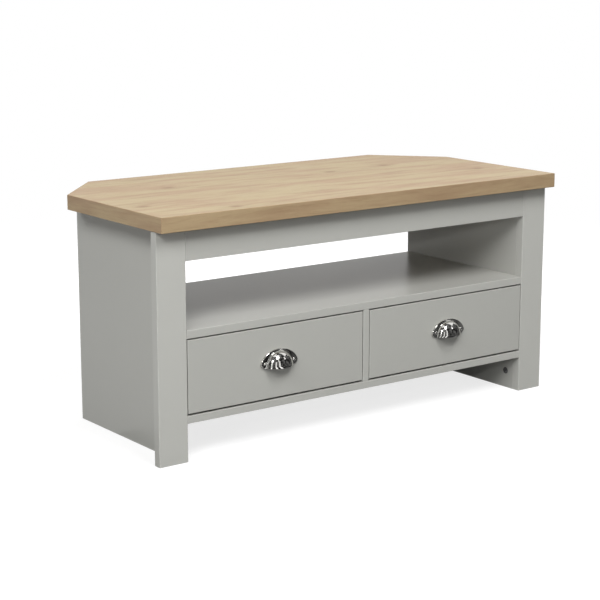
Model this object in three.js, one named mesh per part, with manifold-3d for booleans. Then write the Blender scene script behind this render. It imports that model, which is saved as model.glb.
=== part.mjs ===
// Corner television cabinet: a six-sided top on a painted carcass, an open shelf and two drawers.
// Millimetres, +Z up, the front faces -Y and the origin is on the floor under the top's middle.
import * as THREE from "three";
import { mergeVertices } from "three/addons/utils/BufferGeometryUtils.js";
import Module from "manifold-3d";

const wasm = await Module();
wasm.setup();

// Top board
const topWidth = 1000;
const topDepth = 490;
const topThickness = 30;
const topSideLength = 352;
const topCornerWidth = 125;
const topEdgeRounding = 1.5;
const overallHeight = 482;

// Overhang of the top past the carcass
const frontOverhang = 25.5;
const sideOverhang = 3;
const rearOverhang = 80.5;

// Carcass boards
const postWidth = 64;
const postThickness = 18;
const sideThickness = 15;
const bottomThickness = 15;
const dividerThickness = 15;
const shelfThickness = 16;
const shelfTopHeight = 257.5;
const floorClearance = 76;
const railHeight = 61.5;
const railThickness = 18;
const rearRailHeight = 60;
const rearRailThickness = 15;
const backPanelThickness = 3;
const backPanelRecess = 4;
const backPanelLap = 10;
const seam = 0.2;

// Cam locks and their bolts
const camRadius = 7.5;
const camDepth = 11.5;
const camSetback = 24;
const camHeight = 38;
const camTopInset = 90;
const camCrossLength = 8.5;
const camCrossWidth = 1.8;
const camCrossDepth = 2;
const camWindowPast = 2.4;
const boltThreadRadius = 3.4;
const boltThreadLength = 10.5;
const boltShankRadius = 2.5;
const boltNeckRadius = 1.8;
const boltNeckLength = 2.4;
const boltHeadRadius = 3;
const boltHeadLength = 2.6;
const boltChannelRadius = 4;
const boltTipChamfer = 1;
const fitClearance = 0.3;

// Dowels between the front rail and the posts
const dowelRadius = 4;
const dowelLength = 30;
const dowelSpacing = 32;
const dowelChamfer = 1;

// Drawer boxes
const frontSideGap = 2;
const frontTopGap = 3;
const frontBottomGap = 4;
const frontThickness = 15;
const boxSideThickness = 12;
const boxSideDrop = 17.5;
const boxSideLift = 16;
const boxBackGap = 15;
const boxBottomThickness = 3;
const grooveDepth = 6;
const grooveLift = 8;

// Drawer runners and rollers
const runnerSpace = 12.5;
const runnerSetback = 2;
const steelThickness = 1.2;
const channelHeight = 17;
const channelWidth = 10.8;
const channelMouth = 32;
const frontRollerRadius = 7.5;
const rearRollerRadius = 6.6;
const rollerWidth = 7.5;
const rollerSideGap = 0.4;
const rollerInset = 13;
const rollerRise = 1.5;
const rollerRimChamfer = 0.8;
const pinRadius = 2;
const pinHeadRadius = 3.2;
const pinHeadLength = 1;
const trackWidth = 10.2;
const ledgeWidth = 9;

// Cup handles
const screwSpacing = 70;
const cupWidth = 64;
const cupHeight = 33;
const cupDepth = 23;
const cupRimDrop = 9.5;
const cupWall = 1.6;
const plateThickness = 3.5;
const plateRim = 3;
const earRadius = 9.5;
const screwHeadRadius = 3.3;
const screwHeadHeight = 1.7;
const screwShankRadius = 1.6;
const screwLength = 13;
const screwTipLength = 3;

// Counts and tolerances
const roundSegments = 20;
const finePartSegments = 16;
const cupRings = 11;
const bevelSteps = 2;
const cutOverrun = 1;
const weldTolerance = 1e-4;

// Derived heights and places
const carcassHeight = overallHeight - topThickness;
const frontPlane = -topDepth / 2 + frontOverhang;
const rearPlane = topDepth / 2 - rearOverhang;
const postOuter = topWidth / 2 - sideOverhang;
const innerFace = postOuter - postWidth;
const sideOuter = innerFace + sideThickness;
const postBack = frontPlane + postThickness;
const sideFront = postBack + seam;
const sideTop = carcassHeight - seam;
const shelfBack = rearPlane - backPanelRecess;
const shelfUnder = shelfTopHeight - shelfThickness;
const bottomTop = floorClearance + bottomThickness;
const boardEnd = innerFace - seam;
const railUnder = carcassHeight - railHeight;
const openingWidth = innerFace - dividerThickness / 2;
const openingMiddle = (innerFace + dividerThickness / 2) / 2;

const hands = [
  { name: "left", sign: -1 },
  { name: "right", sign: 1 },
];

const finishes = {
  oak: { color: 0xc8b190, roughness: 0.55, metalness: 0 },
  paint: { color: 0xa6a6a2, roughness: 0.4, metalness: 0 },
  drawerBoard: { color: 0xd9d8d3, roughness: 0.6, metalness: 0 },
  hardboard: { color: 0xb59a78, roughness: 0.8, metalness: 0 },
  chrome: { color: 0xd6d6d6, roughness: 0.12, metalness: 1 },
  zinc: { color: 0xb4b6b8, roughness: 0.35, metalness: 1 },
  coatedSteel: { color: 0xe4e4e0, roughness: 0.45, metalness: 0 },
  nylon: { color: 0xf1f0ea, roughness: 0.5, metalness: 0 },
  blackPlastic: { color: 0x1e1e1e, roughness: 0.5, metalness: 0 },
  beech: { color: 0xd0ab7a, roughness: 0.7, metalness: 0 },
};

// A closed geometry as a solid that can be joined and cut.
function solidFrom(geometry) {
  const bare = new THREE.BufferGeometry();
  bare.setAttribute("position", geometry.getAttribute("position"));
  bare.setIndex(geometry.index);
  const welded = mergeVertices(bare, weldTolerance);
  return new wasm.Manifold(
    new wasm.Mesh({
      numProp: 3,
      vertProperties: welded.attributes.position.array,
      triVerts: new Uint32Array(welded.index.array),
    }),
  );
}

// The flat-shaded geometry of a solid.
function geometryFrom(solid) {
  const mesh = solid.getMesh();
  const geometry = new THREE.BufferGeometry();
  geometry.setAttribute("position", new THREE.BufferAttribute(mesh.vertProperties, 3));
  geometry.setIndex(new THREE.BufferAttribute(mesh.triVerts, 1));
  const flat = geometry.toNonIndexed();
  flat.computeVertexNormals();
  return flat;
}

// One geometry with others cut out of it.
function cut(body, tools) {
  const start = solidFrom(body);
  return geometryFrom(tools.reduce((rest, tool) => rest.subtract(solidFrom(tool)), start));
}

// Several geometries joined into one.
function join(pieces) {
  const [first, ...others] = pieces.map(solidFrom);
  return geometryFrom(others.reduce((whole, piece) => whole.add(piece), first));
}

// A box between two opposite corners, given in any order.
function boxBetween(cornerA, cornerB) {
  const size = cornerA.map((value, axis) => Math.abs(value - cornerB[axis]));
  const middle = cornerA.map((value, axis) => (value + cornerB[axis]) / 2);
  return new THREE.BoxGeometry(...size).translate(...middle);
}

// A turned shape: its profile's radii and heights, stood along a direction from a start point.
function turned(profile, direction, start, segments) {
  const points = profile.map(([radius, height]) => new THREE.Vector2(radius, height));
  const geometry = new THREE.LatheGeometry(points, segments);
  const turn = new THREE.Quaternion().setFromUnitVectors(new THREE.Vector3(0, 1, 0), direction);
  return geometry.applyQuaternion(turn).translate(...start);
}

// A plain round bar along a direction.
function rod(radius, length, direction, start) {
  const profile = [
    [0, 0],
    [radius, 0],
    [radius, length],
    [0, length],
  ];
  return turned(profile, direction, start, roundSegments);
}

function addMesh(parent, name, geometry, finish) {
  const mesh = new THREE.Mesh(geometry, new THREE.MeshStandardMaterial(finishes[finish]));
  mesh.name = name;
  parent.add(mesh);
}

// The three cam locks of each side panel: one draws the post on, two hold the top down.
function camPlaces(hand) {
  const axisX = hand.sign * (innerFace + sideThickness / 2);
  const topHeight = sideTop - camSetback;
  const front = { name: "top_front", y: sideFront + camTopInset, z: topHeight };
  const rear = { name: "top_rear", y: rearPlane - camTopInset, z: topHeight };
  const post = { name: "post", y: sideFront + camSetback, z: camHeight };
  const up = new THREE.Vector3(0, 0, 1);
  const forward = new THREE.Vector3(0, -1, 0);
  return [
    { ...front, axisX, hand, direction: up },
    { ...rear, axisX, hand, direction: up },
    { ...post, axisX, hand, direction: forward },
  ];
}

// A point on a cam bolt's axis, a distance from the cam's centre towards the bolt's thread.
function boltPoint(place, distance) {
  const centre = new THREE.Vector3(place.axisX, place.y, place.z);
  return centre.addScaledVector(place.direction, distance).toArray();
}

// The round pocket for a cam and the channel for its bolt, both cut from the side panel.
function camPocket(place) {
  const { hand, y, z, direction } = place;
  const mouth = [hand.sign * (innerFace - cutOverrun), y, z];
  const inward = new THREE.Vector3(hand.sign, 0, 0);
  const depth = camDepth + fitClearance + cutOverrun;
  const pocket = rod(camRadius + fitClearance, depth, inward, mouth);
  const channel = rod(boltChannelRadius, camSetback + cutOverrun, direction, boltPoint(place, 0));
  return [pocket, channel];
}

// The hole that a cam bolt's thread fills in the board that it holds.
function boltHole(place) {
  const start = boltPoint(place, camSetback - cutOverrun + seam);
  const depth = boltThreadLength + fitClearance + cutOverrun;
  return rod(boltThreadRadius + fitClearance, depth, place.direction, start);
}

// A cam: a short drum with a driver cross on its face and a window for the bolt's head.
function camGeometry(place) {
  const { hand, y, z, direction, axisX } = place;
  const face = hand.sign * innerFace;
  const inward = new THREE.Vector3(hand.sign, 0, 0);
  const drum = rod(camRadius, camDepth, inward, [face, y, z]);
  const crossEnd = face + hand.sign * camCrossDepth;
  const mouth = face - hand.sign * cutOverrun;
  const longArm = camCrossLength / 2;
  const shortArm = camCrossWidth / 2;
  const upright = boxBetween([mouth, y - shortArm, z - longArm], [crossEnd, y + shortArm, z + longArm]);
  const level = boxBetween([mouth, y - longArm, z - shortArm], [crossEnd, y + longArm, z + shortArm]);
  const half = boltHeadRadius + fitClearance;
  const reach = camRadius + cutOverrun;
  const across = new THREE.Vector3(0, direction.z, -direction.y);
  const near = new THREE.Vector3(axisX - half, y, z).addScaledVector(across, -half);
  const far = new THREE.Vector3(axisX + half, y, z).addScaledVector(across, half);
  near.addScaledVector(direction, -camWindowPast);
  far.addScaledVector(direction, reach);
  const window = boxBetween(near.toArray(), far.toArray());
  return cut(drum, [upright, level, window]);
}

// A cam bolt: threaded in the board it holds, plain through the panel, with a necked head.
function camBoltGeometry(place) {
  const headEnd = camSetback + seam + boltThreadLength + boltHeadLength / 2;
  const neckStart = headEnd - boltHeadLength - boltNeckLength;
  const profile = [
    [0, 0],
    [boltThreadRadius - boltTipChamfer, 0],
    [boltThreadRadius, boltTipChamfer],
    [boltThreadRadius, boltThreadLength],
    [boltShankRadius, boltThreadLength],
    [boltShankRadius, neckStart],
    [boltNeckRadius, neckStart],
    [boltNeckRadius, headEnd - boltHeadLength],
    [boltHeadRadius, headEnd - boltHeadLength],
    [boltHeadRadius, headEnd],
    [0, headEnd],
  ];
  const tip = boltPoint(place, camSetback + seam + boltThreadLength);
  const towardsCam = place.direction.clone().negate();
  return turned(profile, towardsCam, tip, finePartSegments);
}

// The dowels that pin one end of the front rail to its post.
function dowelPlaces(hand) {
  const y = frontPlane + railThickness / 2;
  const middle = railUnder + railHeight / 2;
  return [
    { name: "lower", hand, y, z: middle - dowelSpacing / 2 },
    { name: "upper", hand, y, z: middle + dowelSpacing / 2 },
  ];
}

function dowelHole(place) {
  const half = dowelLength / 2 + fitClearance;
  const start = [place.hand.sign * innerFace - half, place.y, place.z];
  return rod(dowelRadius + fitClearance, half * 2, new THREE.Vector3(1, 0, 0), start);
}

function dowelGeometry(place) {
  const profile = [
    [0, 0],
    [dowelRadius - dowelChamfer, 0],
    [dowelRadius, dowelChamfer],
    [dowelRadius, dowelLength - dowelChamfer],
    [dowelRadius - dowelChamfer, dowelLength],
    [0, dowelLength],
  ];
  const start = [place.hand.sign * innerFace - dowelLength / 2, place.y, place.z];
  return turned(profile, new THREE.Vector3(1, 0, 0), start, finePartSegments);
}

// The six-sided top, with both back corners cut off to stand in a room's corner.
function topGeometry(camSets) {
  const side = topWidth / 2;
  const back = topDepth / 2;
  const cornerStart = topSideLength - back;
  const shape = new THREE.Shape();
  shape.moveTo(-side, -back);
  shape.lineTo(side, -back);
  shape.lineTo(side, cornerStart);
  shape.lineTo(side - topCornerWidth, back);
  shape.lineTo(topCornerWidth - side, back);
  shape.lineTo(-side, cornerStart);
  shape.closePath();
  const slab = new THREE.ExtrudeGeometry(shape, {
    depth: topThickness - 2 * topEdgeRounding,
    bevelThickness: topEdgeRounding,
    bevelSize: topEdgeRounding,
    bevelOffset: -topEdgeRounding,
    bevelSegments: bevelSteps,
  }).translate(0, 0, carcassHeight + topEdgeRounding);
  const bolts = camSets.filter((place) => place.direction.z > 0);
  return cut(slab, bolts.map(boltHole));
}

function buildCarcass() {
  const carcass = new THREE.Group();
  const camSets = hands.flatMap(camPlaces);
  const dowels = hands.flatMap(dowelPlaces);
  addMesh(carcass, "top_panel", topGeometry(camSets), "oak");

  for (const hand of hands) {
    const own = camSets.filter((place) => place.hand === hand);
    const inner = hand.sign * innerFace;
    const post = boxBetween([inner, frontPlane, 0], [hand.sign * postOuter, postBack, sideTop]);
    const postHoles = own.filter((place) => place.name === "post").map(boltHole);
    const pegs = dowels.filter((place) => place.hand === hand).map(dowelHole);
    addMesh(carcass, `${hand.name}_post`, cut(post, [...postHoles, ...pegs]), "paint");
    const panel = boxBetween([inner, sideFront, 0], [hand.sign * sideOuter, rearPlane, sideTop]);
    addMesh(carcass, `${hand.name}_side_panel`, cut(panel, own.flatMap(camPocket)), "paint");
  }

  const rail = boxBetween(
    [-boardEnd, frontPlane, railUnder],
    [boardEnd, frontPlane + railThickness, sideTop],
  );
  addMesh(carcass, "front_rail", cut(rail, dowels.map(dowelHole)), "paint");
  const rearRail = boxBetween(
    [-boardEnd, shelfBack - rearRailThickness, sideTop - rearRailHeight],
    [boardEnd, shelfBack, sideTop],
  );
  addMesh(carcass, "rear_rail", rearRail, "paint");
  const shelf = boxBetween(
    [-boardEnd, frontPlane, shelfUnder],
    [boardEnd, shelfBack, shelfTopHeight],
  );
  addMesh(carcass, "shelf", shelf, "paint");
  const bottom = boxBetween(
    [-boardEnd, frontPlane, floorClearance],
    [boardEnd, shelfBack, bottomTop],
  );
  addMesh(carcass, "bottom_panel", bottom, "paint");
  const divider = boxBetween(
    [-dividerThickness / 2, frontPlane, bottomTop + seam],
    [dividerThickness / 2, shelfBack, shelfUnder - seam],
  );
  addMesh(carcass, "drawer_divider", divider, "paint");
  const backPanel = boxBetween(
    [-boardEnd, shelfBack + seam, bottomTop - backPanelLap],
    [boardEnd, shelfBack + seam + backPanelThickness, shelfUnder + backPanelLap],
  );
  addMesh(carcass, "back_panel", backPanel, "hardboard");

  for (const place of camSets) {
    const label = `${place.hand.name}_${place.name}`;
    addMesh(carcass, `${label}_cam`, camGeometry(place), "blackPlastic");
    addMesh(carcass, `${label}_cam_bolt`, camBoltGeometry(place), "zinc");
  }
  for (const place of dowels) {
    const label = `${place.hand.name}_rail_dowel_${place.name}`;
    addMesh(carcass, label, dowelGeometry(place), "beech");
  }
  return carcass;
}

// Places inside a drawer's own frame: x from the drawer's middle, y from the front plane.
const frontHalf = openingWidth / 2 - frontSideGap;
const frontLow = bottomTop + frontBottomGap;
const frontHigh = shelfUnder - frontTopGap;
const boxHalf = openingWidth / 2 - runnerSpace;
const boxInner = boxHalf - boxSideThickness;
const boxStart = frontThickness + seam;
const boxEnd = shelfBack - frontPlane - boxBackGap;
const boxLow = frontLow + boxSideLift;
const boxHigh = frontHigh - boxSideDrop;
const grooveLow = boxLow + grooveLift;
const grooveHigh = grooveLow + boxBottomThickness + 2 * fitClearance;
const screwHeight = (frontLow + frontHigh) / 2;
const cupRimHeight = screwHeight - cupRimDrop;
const outward = new THREE.Vector3(0, -1, 0);
const inwards = new THREE.Vector3(0, 1, 0);

function drawerFrontGeometry() {
  const panel = boxBetween([-frontHalf, 0, frontLow], [frontHalf, frontThickness, frontHigh]);
  const groove = boxBetween(
    [grooveDepth - boxHalf, frontThickness - grooveDepth, grooveLow],
    [boxHalf - grooveDepth, frontThickness + cutOverrun, grooveHigh],
  );
  const pilots = hands.map((hand) => {
    const mouth = [(hand.sign * screwSpacing) / 2, -cutOverrun, screwHeight];
    return rod(screwShankRadius + fitClearance, screwLength + cutOverrun, inwards, mouth);
  });
  return cut(panel, [groove, ...pilots]);
}

function drawerSideGeometry(hand) {
  const board = boxBetween([hand.sign * boxInner, boxStart, boxLow], [hand.sign * boxHalf, boxEnd, boxHigh]);
  const groove = boxBetween(
    [hand.sign * (boxInner - cutOverrun), boxStart - cutOverrun, grooveLow],
    [hand.sign * (boxInner + grooveDepth), boxEnd + cutOverrun, grooveHigh],
  );
  return cut(board, [groove]);
}

function drawerBackGeometry() {
  const end = boxInner - seam;
  return boxBetween(
    [-end, boxEnd - boxSideThickness, grooveHigh],
    [end, boxEnd, boxHigh],
  );
}

function drawerBottomGeometry() {
  const edge = boxInner + grooveDepth - fitClearance;
  const low = grooveLow + fitClearance;
  return boxBetween(
    [-edge, frontThickness - grooveDepth + fitClearance, low],
    [edge, boxEnd, low + boxBottomThickness],
  );
}

// Half of an ellipse as a flat outline, its straight side along x.
function archShape(halfWidth, height) {
  const shape = new THREE.Shape();
  shape.absellipse(0, 0, halfWidth, height, 0, Math.PI, false, 0);
  shape.closePath();
  return shape;
}

// A flat outline in x and z, made into a plate that stands out from the drawer's face.
function plateFrom(shape, segments) {
  const plate = new THREE.ExtrudeGeometry(shape, {
    depth: plateThickness,
    bevelEnabled: false,
    curveSegments: segments,
  });
  return plate.rotateX(Math.PI / 2).translate(0, -seam, cupRimHeight);
}

// A quarter of an ellipsoid, whole towards the front and above its rim.
function cupBulge(halfWidth, depth, height) {
  const ball = new THREE.SphereGeometry(1, 2 * cupRings, cupRings).rotateX(Math.PI / 2);
  return ball.scale(halfWidth, depth, height).translate(0, -seam, cupRimHeight);
}

// The handle: a hollow cup open below, on an arched plate whose rounded ends hold the screws.
function handleGeometry() {
  const half = cupWidth / 2;
  const hollowHalf = half - cupWall;
  const reach = half + cupDepth + cupHeight;
  const low = cupRimHeight - reach;
  const outer = solidFrom(cupBulge(half, cupDepth, cupHeight));
  const hollow = solidFrom(cupBulge(hollowHalf, cupDepth - cupWall, cupHeight - cupWall));
  const below = boxBetween([-reach, -reach, low], [reach, reach, cupRimHeight]);
  const behind = boxBetween([-reach, -seam, low], [reach, reach, cupRimHeight + reach]);
  const cup = outer.subtract(solidFrom(below)).subtract(solidFrom(behind));
  const archHeight = cupHeight + plateRim;
  const archHalf = (screwSpacing / 2 + earRadius) / Math.sqrt(1 - (cupRimDrop / archHeight) ** 2);
  const corners = hands.map((hand) => {
    const inner = [(hand.sign * screwSpacing) / 2, -reach, low];
    return solidFrom(boxBetween(inner, [hand.sign * (reach + archHalf), reach, screwHeight]));
  });
  const blank = solidFrom(plateFrom(archShape(archHalf, archHeight), roundSegments));
  const arch = corners.reduce((whole, corner) => whole.subtract(corner), blank);
  const ears = hands.map((hand) => {
    const at = [(hand.sign * screwSpacing) / 2, -seam, screwHeight];
    return solidFrom(rod(earRadius, plateThickness, outward, at));
  });
  const holes = hands.map((hand) => {
    const at = [(hand.sign * screwSpacing) / 2, cutOverrun, screwHeight];
    const depth = plateThickness + 2 * cutOverrun;
    return solidFrom(rod(screwShankRadius + fitClearance, depth, outward, at));
  });
  const plated = ears.reduce((whole, ear) => whole.add(ear), cup.add(arch));
  const bored = holes.reduce((whole, hole) => whole.subtract(hole), plated);
  return geometryFrom(bored.subtract(hollow));
}

// A round-headed wood screw through an end of a handle's plate.
function handleScrewGeometry(hand) {
  const headBack = plateThickness + 2 * seam;
  const shoulder = headBack + screwHeadHeight;
  const shankEnd = screwHeadHeight + screwLength - screwTipLength;
  const profile = [
    [0, 0],
    [screwHeadRadius * Math.SQRT1_2, screwHeadHeight * (1 - Math.SQRT1_2)],
    [screwHeadRadius, screwHeadHeight],
    [screwShankRadius, screwHeadHeight],
    [screwShankRadius, shankEnd],
    [0, shankEnd + screwTipLength],
  ];
  const start = [(hand.sign * screwSpacing) / 2, -shoulder, screwHeight];
  return turned(profile, inwards, start, finePartSegments);
}

// Heights that the two members of a runner share.
const channelLow = boxLow - seam - steelThickness;
const channelHigh = channelLow + channelHeight;
const frontRollerHeight = channelHigh + rollerRise - frontRollerRadius;
const rearRollerHeight = channelLow + steelThickness + fitClearance + rearRollerRadius;
const trackUnder = channelHigh + rollerRise + fitClearance;
const runnerStart = frontThickness + runnerSetback;
const runnerEnd = boxEnd;
const frontRollerPlace = runnerStart + rollerInset;
const rearRollerPlace = runnerEnd - rollerInset;
const rollerStart = steelThickness + rollerSideGap;
const pinLength = rollerSideGap * 2 + rollerWidth;

// A fixed pin with a riveted head, for a roller to turn on.
function pinGeometry(direction, start) {
  const root = steelThickness / 2;
  const headStart = root + pinLength;
  const profile = [
    [0, 0],
    [pinRadius, 0],
    [pinRadius, headStart],
    [pinHeadRadius, headStart],
    [pinHeadRadius, headStart + pinHeadLength],
    [0, headStart + pinHeadLength],
  ];
  return turned(profile, direction, start, finePartSegments);
}

// The member screwed to the cabinet: a channel, cut away above the roller at its front.
function cabinetRunnerGeometry(hand) {
  const wall = openingWidth / 2 - seam;
  const at = (reach) => hand.sign * (wall - reach);
  const web = boxBetween([at(0), runnerStart, channelLow], [at(steelThickness), runnerEnd, channelHigh]);
  const floor = boxBetween(
    [at(0), runnerStart, channelLow],
    [at(channelWidth), runnerEnd, channelLow + steelThickness],
  );
  const roof = boxBetween(
    [at(0), runnerStart + channelMouth, channelHigh - steelThickness],
    [at(channelWidth), runnerEnd, channelHigh],
  );
  const towardsDrawer = new THREE.Vector3(-hand.sign, 0, 0);
  const pin = pinGeometry(towardsDrawer, [at(steelThickness / 2), frontRollerPlace, frontRollerHeight]);
  return join([web, floor, roof, pin]);
}

// The member under the drawer's side: a ledge, a web and the track that runs on the front roller.
function drawerRunnerGeometry(hand) {
  const at = (reach) => hand.sign * (boxHalf + seam + reach);
  const ledgeEnd = hand.sign * (boxHalf - ledgeWidth);
  const top = trackUnder + steelThickness;
  const web = boxBetween([at(0), runnerStart, channelLow], [at(steelThickness), runnerEnd, top]);
  const ledge = boxBetween(
    [ledgeEnd, runnerStart, channelLow],
    [at(steelThickness), runnerEnd, channelLow + steelThickness],
  );
  const track = boxBetween([at(0), runnerStart, trackUnder], [at(trackWidth), runnerEnd, top]);
  const towardsWall = new THREE.Vector3(hand.sign, 0, 0);
  const pin = pinGeometry(towardsWall, [at(steelThickness / 2), rearRollerPlace, rearRollerHeight]);
  return join([web, ledge, track, pin]);
}

// A nylon wheel with a bore for its pin and a small chamfer round each rim.
function rollerGeometry(radius, direction, start) {
  const bore = pinRadius + fitClearance;
  const profile = [
    [bore, 0],
    [radius - rollerRimChamfer, 0],
    [radius, rollerRimChamfer],
    [radius, rollerWidth - rollerRimChamfer],
    [radius - rollerRimChamfer, rollerWidth],
    [bore, rollerWidth],
    [bore, 0],
  ];
  return turned(profile, direction, start, finePartSegments);
}

function frontRollerGeometry(hand) {
  const face = hand.sign * (openingWidth / 2 - seam - rollerStart);
  const start = [face, frontRollerPlace, frontRollerHeight];
  return rollerGeometry(frontRollerRadius, new THREE.Vector3(-hand.sign, 0, 0), start);
}

function rearRollerGeometry(hand) {
  const face = hand.sign * (boxHalf + seam + rollerStart);
  const start = [face, rearRollerPlace, rearRollerHeight];
  return rollerGeometry(rearRollerRadius, new THREE.Vector3(hand.sign, 0, 0), start);
}

function buildDrawer(place) {
  const drawer = new THREE.Group();
  drawer.position.set(place.sign * openingMiddle, frontPlane, 0);
  addMesh(drawer, `${place.name}_drawer_front`, drawerFrontGeometry(), "paint");
  addMesh(drawer, `${place.name}_drawer_back`, drawerBackGeometry(), "drawerBoard");
  addMesh(drawer, `${place.name}_drawer_bottom`, drawerBottomGeometry(), "hardboard");
  addMesh(drawer, `${place.name}_drawer_handle`, handleGeometry(), "chrome");
  for (const hand of hands) {
    const name = (piece) => `${place.name}_${piece}_${hand.name}`;
    addMesh(drawer, name("drawer_side"), drawerSideGeometry(hand), "drawerBoard");
    addMesh(drawer, name("handle_screw"), handleScrewGeometry(hand), "chrome");
    addMesh(drawer, name("cabinet_runner"), cabinetRunnerGeometry(hand), "coatedSteel");
    addMesh(drawer, name("drawer_runner"), drawerRunnerGeometry(hand), "coatedSteel");
    addMesh(drawer, name("front_roller"), frontRollerGeometry(hand), "nylon");
    addMesh(drawer, name("rear_roller"), rearRollerGeometry(hand), "nylon");
  }
  return drawer;
}

const cabinet = new THREE.Group();
cabinet.add(buildCarcass());
for (const place of hands) {
  cabinet.add(buildDrawer(place));
}

export default cabinet;
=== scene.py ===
"""Looks of a corner television cabinet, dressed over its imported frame.

Lengths are metres in the frame's own axes: X to the right, the front faces -Y and Z is up.
"""

import logging
import math
from collections.abc import Iterable, Sequence
from dataclasses import dataclass, field, replace
from enum import Enum
from itertools import pairwise

import bmesh
import bpy
from mathutils import Matrix, Vector


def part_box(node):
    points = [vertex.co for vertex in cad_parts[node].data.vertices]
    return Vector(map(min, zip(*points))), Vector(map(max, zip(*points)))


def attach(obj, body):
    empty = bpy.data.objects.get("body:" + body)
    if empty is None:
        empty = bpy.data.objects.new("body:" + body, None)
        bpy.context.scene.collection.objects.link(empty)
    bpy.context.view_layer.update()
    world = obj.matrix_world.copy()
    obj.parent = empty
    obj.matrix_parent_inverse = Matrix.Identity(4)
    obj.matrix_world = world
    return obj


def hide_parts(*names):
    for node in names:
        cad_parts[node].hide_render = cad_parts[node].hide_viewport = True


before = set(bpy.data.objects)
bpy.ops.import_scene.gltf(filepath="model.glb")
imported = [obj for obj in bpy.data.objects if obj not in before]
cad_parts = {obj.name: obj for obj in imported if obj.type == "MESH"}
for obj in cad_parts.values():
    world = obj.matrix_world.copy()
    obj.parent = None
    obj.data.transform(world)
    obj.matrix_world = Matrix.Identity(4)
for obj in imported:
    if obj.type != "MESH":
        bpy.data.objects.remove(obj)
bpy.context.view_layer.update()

log = logging.getLogger("cabinet")

Colour = tuple[float, float, float, float]
Pair = tuple[float, float]
Point = Sequence[float]
Object = bpy.types.Object
Mesh = bpy.types.Mesh
Socket = bpy.types.NodeSocket
Sockets = bpy.types.NodeOutputs
Shape = bmesh.types.BMesh
Vertex = bmesh.types.BMVert

# The cabinet's two sides, each with the sign of its X.
HANDS = {"left": -1.0, "right": 1.0}
UP = Vector((0, 0, 1))
FORWARD = (0.0, -1.0, 0.0)
BACKWARD = (0, 1, 0)

# Distances under which points are one, are on a turned shape's axis or are in one plane.
WELD = 1e-6
ON_AXIS = 1e-7
SAME_PLANE = 1e-5

# The angles from which faces stay apart, edges are drawn sharp and a board's edge is rounded.
FLAT_ANGLE = math.radians(0.5)
CREASE = math.radians(38)
BOARD_CORNER = math.radians(57)

# The steps across a rounded edge and a rim, and round a screw and a pin.
EASE_STEPS = 3
RIM_STEPS = 4
SCREW_SEGMENTS = 20
PIN_SEGMENTS = 28

# The names of what a mesh carries for its material: its grain map, and its board's box.
GRAIN_MAP = "grain"
BOX_CORNERS = ("board_low", "board_high")

# The way across the grain, slanted so that each long face of a piece shows it.
ACROSS_GRAIN = Vector((0, 0.6, 0.8))

FLOAT = "NodeSocketFloat"
WHOLE = "NodeSocketInt"
COLOUR = "NodeSocketColor"
VECTOR = "NodeSocketVector"
MATERIAL = "NodeSocketMaterial"


class Slot(Enum):
    """The record's material slots."""

    OAK_TOP = "oak_top"
    PAINTED_BOARD = "painted_board"
    DRAWER_BOARD = "drawer_board"
    DRAWER_BASE = "drawer_base"
    HARDBOARD = "hardboard"
    CHROME = "chrome"
    COATED_STEEL = "coated_steel"
    NYLON = "nylon"
    BLACK_PLASTIC = "black_plastic"
    ZINC_STEEL = "zinc_steel"
    BEECH = "beech"


def srgb(red: int, green: int, blue: int) -> Colour:
    """Turn a display colour into the linear colour that a shader takes.

    Args:
        red: The red level, from 0 to 255.
        green: The green level, from 0 to 255.
        blue: The blue level, from 0 to 255.

    Returns:
        The linear colour, fully opaque.
    """

    def linear(level: int) -> float:
        """Undo the display curve of one level."""
        share = level / 255
        return share / 12.92 if share <= 0.04045 else ((share + 0.055) / 1.055) ** 2.4

    return (linear(red), linear(green), linear(blue), 1.0)


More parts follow.
